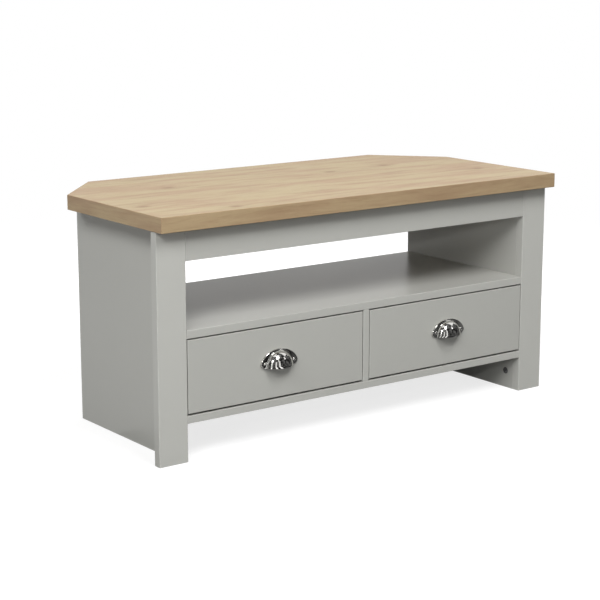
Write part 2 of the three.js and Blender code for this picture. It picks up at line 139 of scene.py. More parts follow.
class Wiring:
    """Adds nodes to a node tree and wires their inputs in the same call."""

    def __init__(self, tree: bpy.types.NodeTree) -> None:
        """Keep the tree that the nodes go into."""
        self.tree = tree

    @classmethod
    def anew(cls, owner: bpy.types.Material | bpy.types.World) -> "Wiring":
        """Empty the node tree of a material or of the world.

        Args:
            owner: The material or the world.

        Returns:
            The wiring of its empty tree.
        """
        owner.use_nodes = True
        owner.node_tree.nodes.clear()
        return cls(owner.node_tree)

    def add(
        self, kind: str, inputs: dict[int | str, object] | None = None, **settings: object
    ) -> bpy.types.Node:
        """Add one node.

        Args:
            kind: The node's type name.
            inputs: Values or sockets for its inputs, by name, identifier or index.
            **settings: The node's own properties.

        Returns:
            The new node.
        """
        node = self.tree.nodes.new(kind)
        for name, value in settings.items():
            setattr(node, name, value)
        for key, value in (inputs or {}).items():
            socket = self.find(node.inputs, key)
            if isinstance(value, Socket):
                self.tree.links.new(value, socket)
            else:
                socket.default_value = value
        return node

    @staticmethod
    def find(sockets: Iterable[Socket], key: str | int) -> Socket:
        """Find a socket by its place, its identifier or else its name.

        Args:
            sockets: A node's inputs or outputs.
            key: The place, identifier or name.

        Returns:
            The socket.
        """
        if isinstance(key, int):
            return sockets[key]
        exact = [socket for socket in sockets if socket.identifier == key]
        return exact[0] if exact else sockets[key]

    def math(self, operation: str, *values: object, clamp: bool = False) -> Socket:
        """Add a Math node.

        Args:
            operation: The Math node's operation.
            *values: Its inputs in order.
            clamp: Whether the result is held between 0 and 1.

        Returns:
            The result's socket.
        """
        settings = {"operation": operation, "use_clamp": clamp}
        return self.add("ShaderNodeMath", dict(enumerate(values)), **settings).outputs[0]

    def vector(self, operation: str, *values: object) -> Socket:
        """Add a Vector Math node.

        Args:
            operation: The Vector Math node's operation.
            *values: Its inputs in order.

        Returns:
            The result's socket, which for a length is a number's.
        """
        inputs = dict(enumerate(values))
        node = self.add("ShaderNodeVectorMath", inputs, operation=operation)
        return self.find(node.outputs, "Value" if operation == "LENGTH" else "Vector")

    def split(self, vector: Socket) -> Sockets:
        """Return the sockets of a vector's three parts."""
        return self.add("ShaderNodeSeparateXYZ", {0: vector}).outputs

    def join(self, *parts: object) -> Socket:
        """Return the socket of the vector that some parts make."""
        return self.add("ShaderNodeCombineXYZ", dict(enumerate(parts))).outputs[0]

    def own_place(self) -> Socket:
        """Return the socket of the object's own coordinates."""
        return self.add("ShaderNodeTexCoord").outputs["Object"]

    def mix(self, factor: object, first: object, second: object) -> Socket:
        """Blend two colours.

        Args:
            factor: The share of the second colour, as a number or a socket.
            first: The first colour or its socket.
            second: The second colour or its socket.

        Returns:
            The blend's socket.
        """
        inputs = {"Factor_Float": factor, "A_Color": first, "B_Color": second}
        node = self.add("ShaderNodeMix", inputs, data_type="RGBA")
        return self.find(node.outputs, "Result_Color")

    def ramp(
        self, value: Socket, low: object, high: object, start: float = 0.0, end: float = 1.0
    ) -> Socket:
        """Turn a value smoothly from one level to another.

        Args:
            value: The value's socket.
            low: Where the change starts.
            high: Where it ends.
            start: The level before it.
            end: The level after it.

        Returns:
            The result's socket.
        """
        inputs = {0: value, 1: low, 2: high, 3: start, 4: end}
        return self.add("ShaderNodeMapRange", inputs, interpolation_type="SMOOTHSTEP").outputs[0]

    def noise(
        self, vector: Socket, scale: object, detail: float = 2.0, rough: float = 0.5
    ) -> Socket:
        """Add a Noise Texture.

        Args:
            vector: The coordinates' socket.
            scale: The pattern's steps per unit, as a number or a socket.
            detail: The number of finer layers.
            rough: How strong each finer layer is.

        Returns:
            The grey pattern's socket.
        """
        inputs = {"Vector": vector, "Scale": scale, "Detail": detail, "Roughness": rough}
        return self.add("ShaderNodeTexNoise", inputs).outputs[0]

    def centred(self, pattern: Socket) -> Socket:
        """Stretch a pattern from 0 to 1 out to between -1 and 1."""
        return self.math("MULTIPLY_ADD", pattern, 2.0, -1.0)


class NodeGroup:
    """A node group that is built when it is first asked for."""

    name = ""
    kind = ""
    inputs: dict[str, str] = {}
    outputs: dict[str, str] = {}

    @classmethod
    def tree(cls) -> bpy.types.NodeTree:
        """Return the group's node tree, building it once.

        Returns:
            The node tree.
        """
        found = bpy.data.node_groups.get(cls.name)
        if found:
            return found
        tree = bpy.data.node_groups.new(cls.name, cls.kind)
        for way, sockets in (("INPUT", cls.inputs), ("OUTPUT", cls.outputs)):
            for name, kind in sockets.items():
                tree.interface.new_socket(name, in_out=way, socket_type=kind)
        wiring = Wiring(tree)
        results = cls.wire(wiring, wiring.add("NodeGroupInput").outputs)
        wiring.add("NodeGroupOutput", dict(enumerate(results)))
        return tree

    @classmethod
    def wire(cls, wiring: Wiring, source: Sockets) -> list[Socket]:
        """Lay the group's nodes.

        Args:
            wiring: The group's wiring.
            source: The group's inputs.

        Returns:
            The sockets of its outputs in order.
        """
        raise NotImplementedError


class EffectGroup(NodeGroup):
    """A shader node group that several materials share."""

    kind = "ShaderNodeTree"

    @classmethod
    def place(cls, wiring: Wiring, **values: object) -> Sockets:
        """Place the group in a material.

        Args:
            wiring: The material's wiring.
            **values: Values or sockets for its inputs.

        Returns:
            The group node's outputs.
        """
        inputs = {name.capitalize(): value for name, value in values.items()}
        return wiring.add("ShaderNodeGroup", inputs, node_tree=cls.tree()).outputs


class Mottle(EffectGroup):
    """A colour that wanders a little over the surface, in broad and in small patches."""

    name = "mottle"
    inputs = {"Vector": VECTOR, "Colour": COLOUR, "Spread": FLOAT, "Scale": FLOAT}
    outputs = {"Colour": COLOUR}
    small_scale = 14.0
    small_share = 0.35

    @classmethod
    def wire(cls, wiring: Wiring, source: Sockets) -> list[Socket]:
        """Lighten and darken the colour by two sizes of noise; see NodeGroup.wire."""
        broad = wiring.noise(source["Vector"], source["Scale"], detail=3.0)
        scale = wiring.math("MULTIPLY", source["Scale"], cls.small_scale)
        small = wiring.noise(source["Vector"], scale)
        rest = wiring.math("MULTIPLY", broad, 1 - cls.small_share)
        both = wiring.math("MULTIPLY_ADD", small, cls.small_share, rest)
        level = wiring.math("MULTIPLY_ADD", wiring.centred(both), source["Spread"], 1.0)
        inputs = {0: source["Colour"], "Scale": level}
        return [wiring.add("ShaderNodeVectorMath", inputs, operation="SCALE").outputs[0]]


class FineSurface(EffectGroup):
    """The fine relief of a sprayed, moulded or drawn surface, and how it varies the gloss."""

    name = "fine_surface"
    inputs = {"Vector": VECTOR, "Scale": FLOAT, "Roughness": FLOAT, "Spread": FLOAT}
    outputs = {"Roughness": FLOAT, "Height": FLOAT}
    smear_scale = 0.03
    least_roughness = 0.02

    @classmethod
    def wire(cls, wiring: Wiring, source: Sockets) -> list[Socket]:
        """Make the relief from fine noise and the gloss from broad noise; see NodeGroup.wire."""
        relief = wiring.noise(source["Vector"], source["Scale"], detail=3.0, rough=0.6)
        scale = wiring.math("MULTIPLY", source["Scale"], cls.smear_scale)
        smears = wiring.centred(wiring.noise(source["Vector"], scale, detail=4.0, rough=0.65))
        gloss = wiring.math("MULTIPLY_ADD", smears, source["Spread"], source["Roughness"])
        return [wiring.math("MAXIMUM", gloss, cls.least_roughness), relief]


class EdgeWear(EffectGroup):
    """Where handling has dulled the outer edges of a board.

    A board's mesh carries its box in the attributes board_low and board_high, and the second
    smallest distance to the box's six faces is the distance to its nearest edge.
    """

    name = "edge_wear"
    inputs = {"Width": FLOAT}
    outputs = {"Mask": FLOAT}
    patch_scale = 45.0
    patch_edge = (0.4, 0.62)
    breakup = 0.6

    @classmethod
    def wire(cls, wiring: Wiring, source: Sockets) -> list[Socket]:
        """Work out the distance to the nearest edge and break it up; see NodeGroup.wire."""
        place = wiring.own_place()
        gaps = []
        for name in BOX_CORNERS:
            corner = wiring.add("ShaderNodeAttribute", attribute_name=name).outputs["Vector"]
            gaps.append(wiring.vector("ABSOLUTE", wiring.vector("SUBTRACT", place, corner)))
        x, y, z = wiring.split(wiring.vector("MINIMUM", *gaps))
        lesser = wiring.math("MINIMUM", x, y)
        greater = wiring.math("MAXIMUM", x, y)
        edge = wiring.math("MAXIMUM", lesser, wiring.math("MINIMUM", greater, z))
        patches = wiring.noise(place, cls.patch_scale, detail=4.0, rough=0.7)
        reach = wiring.math("MULTIPLY", source["Width"], wiring.math("MULTIPLY", patches, 2.0))
        close = wiring.ramp(edge, 0.0, reach, 1.0, 0.0)
        patchy = wiring.ramp(patches, *cls.patch_edge)
        kept = wiring.math("MULTIPLY_ADD", patchy, cls.breakup, 1 - cls.breakup)
        return [wiring.math("MULTIPLY", close, kept, clamp=True)]


class Dust(EffectGroup):
    """A thin, uneven film of dust on what faces up."""

    name = "dust"
    inputs = {"Amount": FLOAT}
    outputs = {"Mask": FLOAT}
    film_scale = 9.0
    film_edge = (0.3, 0.8)
    speck_scale = 1400.0
    speck_edge = (0.62, 0.72)
    speck_share = 0.6
    facing_up = (0.5, 0.95)

    @classmethod
    def wire(cls, wiring: Wiring, source: Sockets) -> list[Socket]:
        """Mask what faces up and break it into patches and specks; see NodeGroup.wire."""
        normal = wiring.add("ShaderNodeNewGeometry").outputs["Normal"]
        facing = wiring.ramp(wiring.split(normal)[2], *cls.facing_up)
        place = wiring.own_place()
        film = wiring.noise(place, cls.film_scale, detail=4.0, rough=0.6)
        grains = wiring.noise(place, cls.speck_scale, detail=1.0)
        specks = wiring.ramp(grains, *cls.speck_edge, end=cls.speck_share)
        spread = wiring.math("ADD", wiring.ramp(film, *cls.film_edge), specks)
        level = wiring.math("MULTIPLY", facing, spread)
        return [wiring.math("MULTIPLY", level, source["Amount"], clamp=True)]


class Scratches(EffectGroup):
    """Hair-fine scratches in two directions."""

    name = "scratches"
    inputs = {"Vector": VECTOR}
    outputs = {"Mask": FLOAT}
    scale = 40.0
    width = 0.012
    directions = (((0.3, 0.9, 0.4), (1, 14, 2)), ((1.1, -0.5, 0.7), (13, 1, 3)))

    @classmethod
    def wire(cls, wiring: Wiring, source: Sockets) -> list[Socket]:
        """Cut thin lines out of stretched noise, laid two ways; see NodeGroup.wire."""
        marks = []
        for turn, stretch in cls.directions:
            inputs = {"Vector": source["Vector"], "Rotation": turn, "Scale": stretch}
            laid = wiring.add("ShaderNodeMapping", inputs).outputs[0]
            off = wiring.math("SUBTRACT", wiring.noise(laid, cls.scale), 0.5)
            marks.append(wiring.ramp(wiring.math("ABSOLUTE", off), 0.0, cls.width, 1.0, 0.0))
        return [wiring.math("MAXIMUM", *marks)]


@dataclass(frozen=True)
class GrainLayer:
    """A stretched noise in the grain: its steps along and across, and where it shows."""

    steps: Point
    edge: Pair
    detail: float
    rough: float = 0.5

    def mask(self, wiring: Wiring, place: Socket) -> Socket:
        """Lay the layer.

        Args:
            wiring: The group's wiring.
            place: The socket of the coordinates along and across the grain.

        Returns:
            The socket of where it shows.
        """
        laid = wiring.vector("MULTIPLY", place, self.steps)
        return wiring.ramp(wiring.noise(laid, 1.0, self.detail, self.rough), *self.edge)


class WoodGrain(EffectGroup):
    """Straight-grained wood along the first axis: soft bands, streaks, pores and small knots."""

    name = "wood_grain"
    inputs = {
        "Vector": VECTOR,
        "Light": COLOUR,
        "Middle": COLOUR,
        "Dark": COLOUR,
        "Contrast": FLOAT,
        "Knots": FLOAT,
    }
    outputs = {"Colour": COLOUR, "Height": FLOAT}
    knot_cells = (7.0, 10.0, 1.0)
    knot_chance = (0.76, 0.8)
    knot_halo = (0.0, 0.42)
    knot_heart = (0.02, 0.15)
    halo_share = 0.2
    heart_share = 0.7
    bend_steps = (2.2, 6.0, 1.0)
    bend_depth = 0.035
    bend_round_knot = 0.012
    bands = GrainLayer((3.4, 22.0, 1.0), (0.4, 0.6), 4.0, 0.6)
    flecks = GrainLayer((6.0, 44.0, 1.0), (0.5, 0.72), 3.0)
    streaks = GrainLayer((16.0, 240.0, 1.0), (0.44, 0.72), 4.0, 0.6)
    pores = GrainLayer((70.0, 1500.0, 1.0), (0.6, 0.72), 1.0)
    fleck_share = 0.32
    streak_share = 0.32
    pore_share = 0.28
    pore_depth = -0.7
    streak_depth = -0.3

    @classmethod
    def wire(cls, wiring: Wiring, source: Sockets) -> list[Socket]:
        """Blend the three colours by stretched noises; see NodeGroup.wire."""
        cells = wiring.vector("MULTIPLY", source["Vector"], cls.knot_cells)
        inputs = {"Vector": cells, "Scale": 1.0}
        spots = wiring.add("ShaderNodeTexVoronoi", inputs, voronoi_dimensions="2D").outputs
        rare = wiring.add("ShaderNodeSeparateColor", {0: spots["Color"]}).outputs[0]
        chosen = wiring.math("MULTIPLY", wiring.ramp(rare, *cls.knot_chance), source["Knots"])
        halo, heart = (
            wiring.math("MULTIPLY", wiring.ramp(spots[0], *edge, 1.0, 0.0), chosen)
            for edge in (cls.knot_halo, cls.knot_heart)
        )
        bend = wiring.noise(wiring.vector("MULTIPLY", source["Vector"], cls.bend_steps), 1.0)
        round_knot = wiring.math("MULTIPLY", halo, cls.bend_round_knot)
        shift = wiring.math("MULTIPLY_ADD", bend, cls.bend_depth, round_knot)
        along, across, _ = wiring.split(source["Vector"])
        place = wiring.join(along, wiring.math("ADD", across, shift))
        colour = wiring.mix(cls.bands.mask(wiring, place), source["Light"], source["Middle"])
        streak = cls.streaks.mask(wiring, place)
        pore = wiring.math("MULTIPLY", cls.pores.mask(wiring, place), source["Contrast"])
        marks = (
            (cls.flecks.mask(wiring, place), cls.fleck_share),
            (wiring.math("MULTIPLY", streak, source["Contrast"]), cls.streak_share),
            (pore, cls.pore_share),
        )
        for mask, share in marks:
            colour = wiring.mix(wiring.math("MULTIPLY", mask, share), colour, source["Dark"])
        core = wiring.math("MULTIPLY", heart, cls.heart_share)
        knot = wiring.math("MULTIPLY_ADD", halo, cls.halo_share, core)
        shade = wiring.math("MULTIPLY", knot, source["Contrast"], clamp=True)
        dip = wiring.math("MULTIPLY", streak, cls.streak_depth)
        height = wiring.math("MULTIPLY_ADD", pore, cls.pore_depth, dip)
        return [wiring.mix(shade, colour, source["Dark"]), height]


@dataclass(frozen=True)
class Finish:
    """A surface finish: its colour and gloss, and the marks of making and use on it."""

    name: str
    slot: Slot
    colour: Colour
    roughness: float
    metallic: float = 0.0
    reflectance: float = 0.5
    mottling: float = 0.03
    mottle_scale: float = 5.0
    relief_scale: float = 700.0
    relief_depth: float = 0.00001
    relief_strength: float = 0.6
    pattern_depth: float = 0.00012
    pattern_strength: float = 0.5
    gloss_spread: float = 0.05
    worn_colour: Colour = srgb(190, 190, 185)
    worn_dulling: float = 0.3
    wear: float = 0.0
    wear_width: float = 0.002
    dust_colour: Colour = srgb(206, 202, 194)
    dust_dulling: float = 0.5
    dust: float = 0.0
    scratches: float = 0.0

    def coordinates(self, wiring: Wiring) -> Socket:
        """Return the coordinates that the finish's patterns follow."""
        return wiring.own_place()

    def pattern(self, wiring: Wiring, place: Socket) -> tuple[Socket, Socket | None]:
        """Lay the finish's own colour.

        Args:
            wiring: The material's wiring.
            place: The coordinates' socket.

        Returns:
            The colour's socket, and the socket of a relief that goes with it or None.
        """
        return self.mottled(wiring, place, self.colour), None

    def mottled(self, wiring: Wiring, place: Socket, colour: object) -> Socket:
        """Let a colour wander by as much as this finish has.

        Args:
            wiring: The material's wiring.
            place: The coordinates' socket.
            colour: The colour or its socket.

        Returns:
            The mottled colour's socket.
        """
        values = {"colour": colour, "spread": self.mottling, "scale": self.mottle_scale}
        return Mottle.place(wiring, vector=place, **values)["Colour"]

    def relief(self, wiring: Wiring, fine: Socket, own: Socket | None) -> Socket:
        """Lay the finish's relief.

        Args:
            wiring: The material's wiring.
            fine: The socket of the fine surface's height.
            own: The socket of the relief that goes with the colour, or None.

        Returns:
            The normal's socket.
        """
        inputs = {"Distance": self.relief_depth, "Strength": self.relief_strength}
        normal = wiring.add("ShaderNodeBump", {"Height": fine, **inputs}).outputs["Normal"]
        if own:
            inputs = {"Distance": self.pattern_depth, "Strength": self.pattern_strength}
            bump = wiring.add("ShaderNodeBump", {"Height": own, "Normal": normal, **inputs})
            normal = bump.outputs["Normal"]
        return normal

    def material(self) -> bpy.types.Material:
        """Return the finish's material, building it once.

        Returns:
            The material.
        """
        found = bpy.data.materials.get(self.name)
        if found:
            return found
        material = bpy.data.materials.new(self.name)
        wiring = Wiring.anew(material)
        place = self.coordinates(wiring)
        colour, own_relief = self.pattern(wiring, place)
        values = {"roughness": self.roughness, "spread": self.gloss_spread}
        fine = FineSurface.place(wiring, vector=place, scale=self.relief_scale, **values)
        roughness = fine["Roughness"]
        if self.wear:
            mask = EdgeWear.place(wiring, width=self.wear_width)["Mask"]
            share = wiring.math("MULTIPLY", mask, self.wear)
            colour = wiring.mix(share, colour, self.worn_colour)
            roughness = wiring.math("MULTIPLY_ADD", share, self.worn_dulling, roughness)
        if self.scratches:
            marks = Scratches.place(wiring, vector=place)["Mask"]
            roughness = wiring.math("MULTIPLY_ADD", marks, self.scratches, roughness)
        if self.dust:
            film = Dust.place(wiring, amount=self.dust)["Mask"]
            colour = wiring.mix(film, colour, self.dust_colour)
            roughness = wiring.math("MULTIPLY_ADD", film, self.dust_dulling, roughness)
        inputs = {
            "Base Color": colour,
            "Roughness": roughness,
            "Normal": self.relief(wiring, fine["Height"], own_relief),
            "Metallic": self.metallic,
            "Specular IOR Level": self.reflectance,
        }
        shader = wiring.add("ShaderNodeBsdfPrincipled", inputs)
        wiring.add("ShaderNodeOutputMaterial", {"Surface": shader.outputs[0]})
        return material


@dataclass(frozen=True)
class WoodFinish(Finish):
    """A wooden or wood-effect finish, whose grain follows the piece's own grain map."""

    light: Colour = srgb(173, 156, 122)
    dark: Colour = srgb(136, 109, 82)
    contrast: float = 1.0
    knots: float = 0.0

    def coordinates(self, wiring: Wiring) -> Socket:
        """Return the piece's grain map, in metres along and across the grain."""
        return wiring.add("ShaderNodeUVMap", uv_map=GRAIN_MAP).outputs[0]

    def pattern(self, wiring: Wiring, place: Socket) -> tuple[Socket, Socket | None]:
        """Lay the grain; see Finish.pattern."""
        colours = {"light": self.light, "middle": self.colour, "dark": self.dark}
        shares = {"contrast": self.contrast, "knots": self.knots}
        grain = WoodGrain.place(wiring, vector=place, **shares, **colours)
        return self.mottled(wiring, place, grain["Colour"]), grain["Height"]


OAK = WoodFinish(
    "oak_effect",
    Slot.OAK_TOP,
    srgb(165, 140, 111),
    knots=1.0,
    roughness=0.5,
    reflectance=0.25,
    mottling=0.05,
    dust=0.03,
    relief_depth=0.000008,
)
# The edge bands' oak colours are darker than the top's: painted shade, for the weaker light on the
# upright edges; the bands carry no knots.
OAK_EDGING_PAINTED_SHADE = replace(
    OAK,
    name="oak_effect_edging",
    colour=srgb(149, 126, 98),
    light=srgb(159, 139, 108),
    dark=srgb(126, 102, 76),
    knots=0.0,
)
PAINT = Finish(
    "grey_paint",
    Slot.PAINTED_BOARD,
    srgb(166, 166, 161),
    roughness=0.3,
    reflectance=0.15,
    mottling=0.025,
    gloss_spread=0.012,
    wear=0.35,
    dust=0.02,
)
# The posts' paint is the grey paint made lighter: painted light, for the stronger light that falls
# on the posts.
POST_PAINT_PAINTED_LIGHT = replace(PAINT, name="grey_frame_paint", colour=srgb(171, 171, 166))
# The drawer fronts' paint is the grey paint made darker: painted shade, for the dimmer light on
# the fronts.
FRONT_PAINT_PAINTED_SHADE = replace(PAINT, name="grey_front_paint", colour=srgb(163, 163, 158))
DRAWER_BOARD = Finish(
    "drawer_board",
    Slot.DRAWER_BOARD,
    srgb(161, 161, 156),
    roughness=0.5,
    mottling=0.04,
    relief_scale=1500.0,
    wear=0.2,
    worn_colour=srgb(190, 186, 176),
    wear_width=0.0012,
)
DRAWER_BASE = Finish(
    "drawer_base",
    Slot.DRAWER_BASE,
    srgb(166, 166, 161),
    roughness=0.55,
    mottling=0.05,
    dust=0.08,
)
HARDBOARD = WoodFinish(
    "hardboard",
    Slot.HARDBOARD,
    srgb(178, 150, 115),
    light=srgb(188, 162, 128),
    dark=srgb(140, 112, 82),
    contrast=0.5,
    roughness=0.75,
    mottling=0.12,
    mottle_scale=40.0,
    relief_scale=400.0,
    relief_depth=0.00006,
)
CHROME = Finish(
    "polished_chrome",
    Slot.CHROME,
    srgb(224, 223, 219),
    roughness=0.06,
    metallic=1.0,
    mottling=0.04,
    mottle_scale=60.0,
    gloss_spread=0.03,
    relief_depth=0.000002,
    scratches=0.08,
)
COATED_STEEL = Finish(
    "coated_steel",
    Slot.COATED_STEEL,
    srgb(228, 227, 221),
    roughness=0.4,
    mottling=0.04,
    mottle_scale=20.0,
    relief_scale=1800.0,
    relief_depth=0.00002,
    scratches=0.1,
)
NYLON = Finish(
    "nylon",
    Slot.NYLON,
    srgb(236, 234, 226),
    roughness=0.45,
    mottling=0.04,
    mottle_scale=80.0,
    relief_scale=2200.0,
)
BLACK_PLASTIC = Finish(
    "black_plastic",
    Slot.BLACK_PLASTIC,
    srgb(18, 18, 18),
    roughness=0.42,
    reflectance=0.3,
    mottling=0.15,
    mottle_scale=90.0,
    relief_scale=2500.0,
    relief_depth=0.00002,
    scratches=0.15,
)
ZINC = Finish(
    "zinc_steel",
    Slot.ZINC_STEEL,
    srgb(186, 188, 190),
    roughness=0.32,
    metallic=1.0,
    mottling=0.12,
    mottle_scale=120.0,
    gloss_spread=0.1,
    scratches=0.15,
)
BEECH = WoodFinish(
    "beech",
    Slot.BEECH,
    srgb(208, 171, 122),
    light=srgb(220, 188, 142),
    dark=srgb(176, 134, 88),
    contrast=0.7,
    roughness=0.65,
    mottling=0.06,
)


def linked(name: str, data: bpy.types.ID) -> Object:
    """Make an object and put it into the scene.

    Args:
        name: The object's name.
        data: Its mesh, light or camera.

    Returns:
        The object.
    """
    obj = bpy.data.objects.new(name, data)
    bpy.context.scene.collection.objects.link(obj)
    return obj


def mesh_object(mesh: Shape, name: str) -> Object:
    """Turn a mesh under construction into an object.

    Args:
        mesh: The mesh, which is used up.
        name: The object's name.

    Returns:
        The object.
    """
    data = bpy.data.meshes.new(name)
    mesh.to_mesh(data)
    mesh.free()
    return linked(name, data)


def new_object(mesh: Shape, name: str) -> Object:
    """Turn a mesh under construction into a smooth object whose flat faces stay flat.

    Args:
        mesh: The mesh, which is used up.
        name: The object's name.

    Returns:
        The object.
    """
    obj = mesh_object(mesh, name)
    obj.data.shade_smooth()
    obj.data.set_sharp_from_angle(angle=CREASE)
    obj.modifiers.new("weighted_normals", "WEIGHTED_NORMAL").keep_sharp = True
    return obj


def closed_object(mesh: Shape, name: str) -> Object:
    """Turn a closed mesh into an object whose faces point outwards."""
    bmesh.ops.recalc_face_normals(mesh, faces=mesh.faces)
    return new_object(mesh, name)


def plain_mesh(obj: Object) -> Mesh:
    """Return the mesh that an object's modifiers make of it.

    Args:
        obj: The object.

    Returns:
        A new mesh, with the modifiers' result.
    """
    graph = bpy.context.evaluated_depsgraph_get()
    graph.update()
    return bpy.data.meshes.new_from_object(obj.evaluated_get(graph), depsgraph=graph)


def discard(obj: Object) -> None:
    """Remove an object that only helped to make another."""
    bpy.data.objects.remove(obj, do_unlink=True)


def carve(obj: Object, tool: Shape) -> None:
    """Cut one closed shape out of an object.

    Args:
        obj: The object that is cut.
        tool: The shape that is taken away, which is used up.
    """
    cutter = closed_object(tool, "cutter")
    cut = obj.modifiers.new("cut", "BOOLEAN")
    cut.operation = "DIFFERENCE"
    cut.solver = "EXACT"
    cut.object = cutter
    result = plain_mesh(obj)
    obj.modifiers.remove(cut)
    obj.data = result
    discard(cutter)


def cut_box(obj: Object, first: Point, second: Point) -> None:
    """Cut a box out of an object.

    Args:
        obj: The object that is cut.
        first: One corner of the box.
        second: The opposite corner.
    """
    size = [abs(b - a) for a, b in zip(first, second)]
    middle = [(a + b) / 2 for a, b in zip(first, second)]
    tool = bmesh.new()
    matrix = Matrix.Translation(middle) @ Matrix.Diagonal((*size, 1.0))
    bmesh.ops.create_cube(tool, size=1.0, matrix=matrix)
    carve(obj, tool)


def prism(outline: Sequence[Point], way: Point) -> Shape:
    """Draw a flat outline out into a solid.

    Args:
        outline: The corners of the outline.
        way: How far and in which direction it is drawn.

    Returns:
        The solid, as a mesh under construction.
    """
    mesh = bmesh.new()
    near = [mesh.verts.new(corner) for corner in outline]
    far = [mesh.verts.new(Vector(corner) + Vector(way)) for corner in outline]
    mesh.faces.new(near)
    mesh.faces.new(far[::-1])
    for first in range(len(near)):
        after = (first + 1) % len(near)
        mesh.faces.new([near[first], near[after], far[after], far[first]])
    bmesh.ops.recalc_face_normals(mesh, faces=mesh.faces)
    return mesh


def turned(
    mesh: Shape,
    profile: Sequence[Pair],
    start: Point,
    direction: Point,
    segments: int = 48,
    ring: bool = False,
) -> None:
    """Add a turned shape to a mesh under construction.

    Args:
        mesh: The mesh that it is added to.
        profile: Pairs of radius and height, from axis to axis.
        start: The point at height zero.
        direction: The way in which the heights grow.
        segments: The steps round the axis.
        ring: Whether the profile closes on itself, round a bore.
    """
    turn = UP.rotation_difference(Vector(direction)).to_matrix()
    origin = Vector(start)
    angles = [2 * math.pi * step / segments for step in range(segments)]
    rings = []
    for radius, height in profile:
        spots = [(0.0, 0.0)]
        if radius > ON_AXIS:
            spots = [(radius * math.cos(angle), radius * math.sin(angle)) for angle in angles]
        rings.append([mesh.verts.new(origin + turn @ Vector((x, y, height))) for x, y in spots])
    pairs = list(pairwise(rings)) + ([(rings[-1], rings[0])] if ring else [])
    for lower, upper in pairs:
        for step in range(segments):
            after = (step + 1) % segments
            corners = [lower[step % len(lower)], lower[after % len(lower)]]
            corners += [upper[after % len(upper)], upper[step % len(upper)]]
            distinct = list(dict.fromkeys(corners))
            if len(distinct) > 2:
                mesh.faces.new(distinct)


def arc(centre: Pair, radius: float, start: float, end: float, steps: int) -> list[Pair]:
    """Return points along an arc.

    Args:
        centre: The arc's centre.
        radius: Its radius.
        start: The angle of its first point, in degrees.
        end: The angle of its last point, in degrees.
        steps: The number of steps between them.

    Returns:
        The points, both ends included.
    """
    angles = [math.radians(start + (end - start) * step / steps) for step in range(steps + 1)]
    return [(centre[0] + radius * math.cos(a), centre[1] + radius * math.sin(a)) for a in angles]


def side_of(node: str, way: float) -> float:
    """Return where a node's box ends, to the right for a positive way and else to the left."""
    low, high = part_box(node)
    return high.x if way > 0 else low.x


def merged_copy(node: str) -> Shape:
    """Copy a node's mesh, with its loose triangles joined into flat faces.

    Args:
        node: The node's name.

    Returns:
        The copy, as a mesh under construction.
    """
    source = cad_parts[node].data
    mesh = bmesh.new()
    corners = [mesh.verts.new(vertex.co) for vertex in source.vertices]
    for polygon in source.polygons:
        mesh.faces.new([corners[index] for index in polygon.vertices])
    bmesh.ops.remove_doubles(mesh, verts=mesh.verts, dist=WELD)
    bmesh.ops.dissolve_limit(mesh, angle_limit=FLAT_ANGLE, verts=mesh.verts, edges=mesh.edges)
    mesh.normal_update()
    return mesh


def ease_edges(mesh: Shape, edges: Sequence[bmesh.types.BMEdge], ease: float) -> None:
    """Round some edges of a mesh.

    Args:
        mesh: The mesh.
        edges: The edges.
        ease: The radius of the rounding.
    """
    settings = {"segments": EASE_STEPS, "profile": 0.5, "affect": "EDGES"}
    bmesh.ops.bevel(mesh, geom=edges, offset=ease, clamp_overlap=True, **settings)


def eased_board(node: str, ease: float) -> Object:
    """Copy a board with its outer edges rounded, and note its box for the wear of its edges.

    Args:
        node: The board's node.
        ease: The radius of its edges.

    Returns:
        The board's object.
    """
    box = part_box(node)
    mesh = merged_copy(node)

    def outside(face: bmesh.types.BMFace) -> bool:
        """Tell whether a face lies in one of the six faces of the board's box."""
        axis = max(range(3), key=lambda index: abs(face.normal[index]))
        return min(abs(face.verts[0].co[axis] - corner[axis]) for corner in box) < SAME_PLANE

    edges = [
        edge
        for edge in mesh.edges
        if all(map(outside, edge.link_faces)) and edge.calc_face_angle(0) > BOARD_CORNER
    ]
    ease_edges(mesh, edges, ease)
    board = new_object(mesh, f"{node}_board")
    for name, corner in zip(BOX_CORNERS, box):
        attribute = board.data.attributes.new(name, "FLOAT_VECTOR", "POINT")
        attribute.data.foreach_set("vector", list(corner) * len(board.data.vertices))
    return board


def lay_grain(obj: Object) -> None:
    """Give a piece a grain map that runs along X over all of it.

    Args:
        obj: The piece.
    """
    grain = obj.data.uv_layers.new(name=GRAIN_MAP)
    for loop in obj.data.loops:
        place = obj.data.vertices[loop.vertex_index].co
        grain.data[loop.index].uv = (place.x, place.dot(ACROSS_GRAIN))


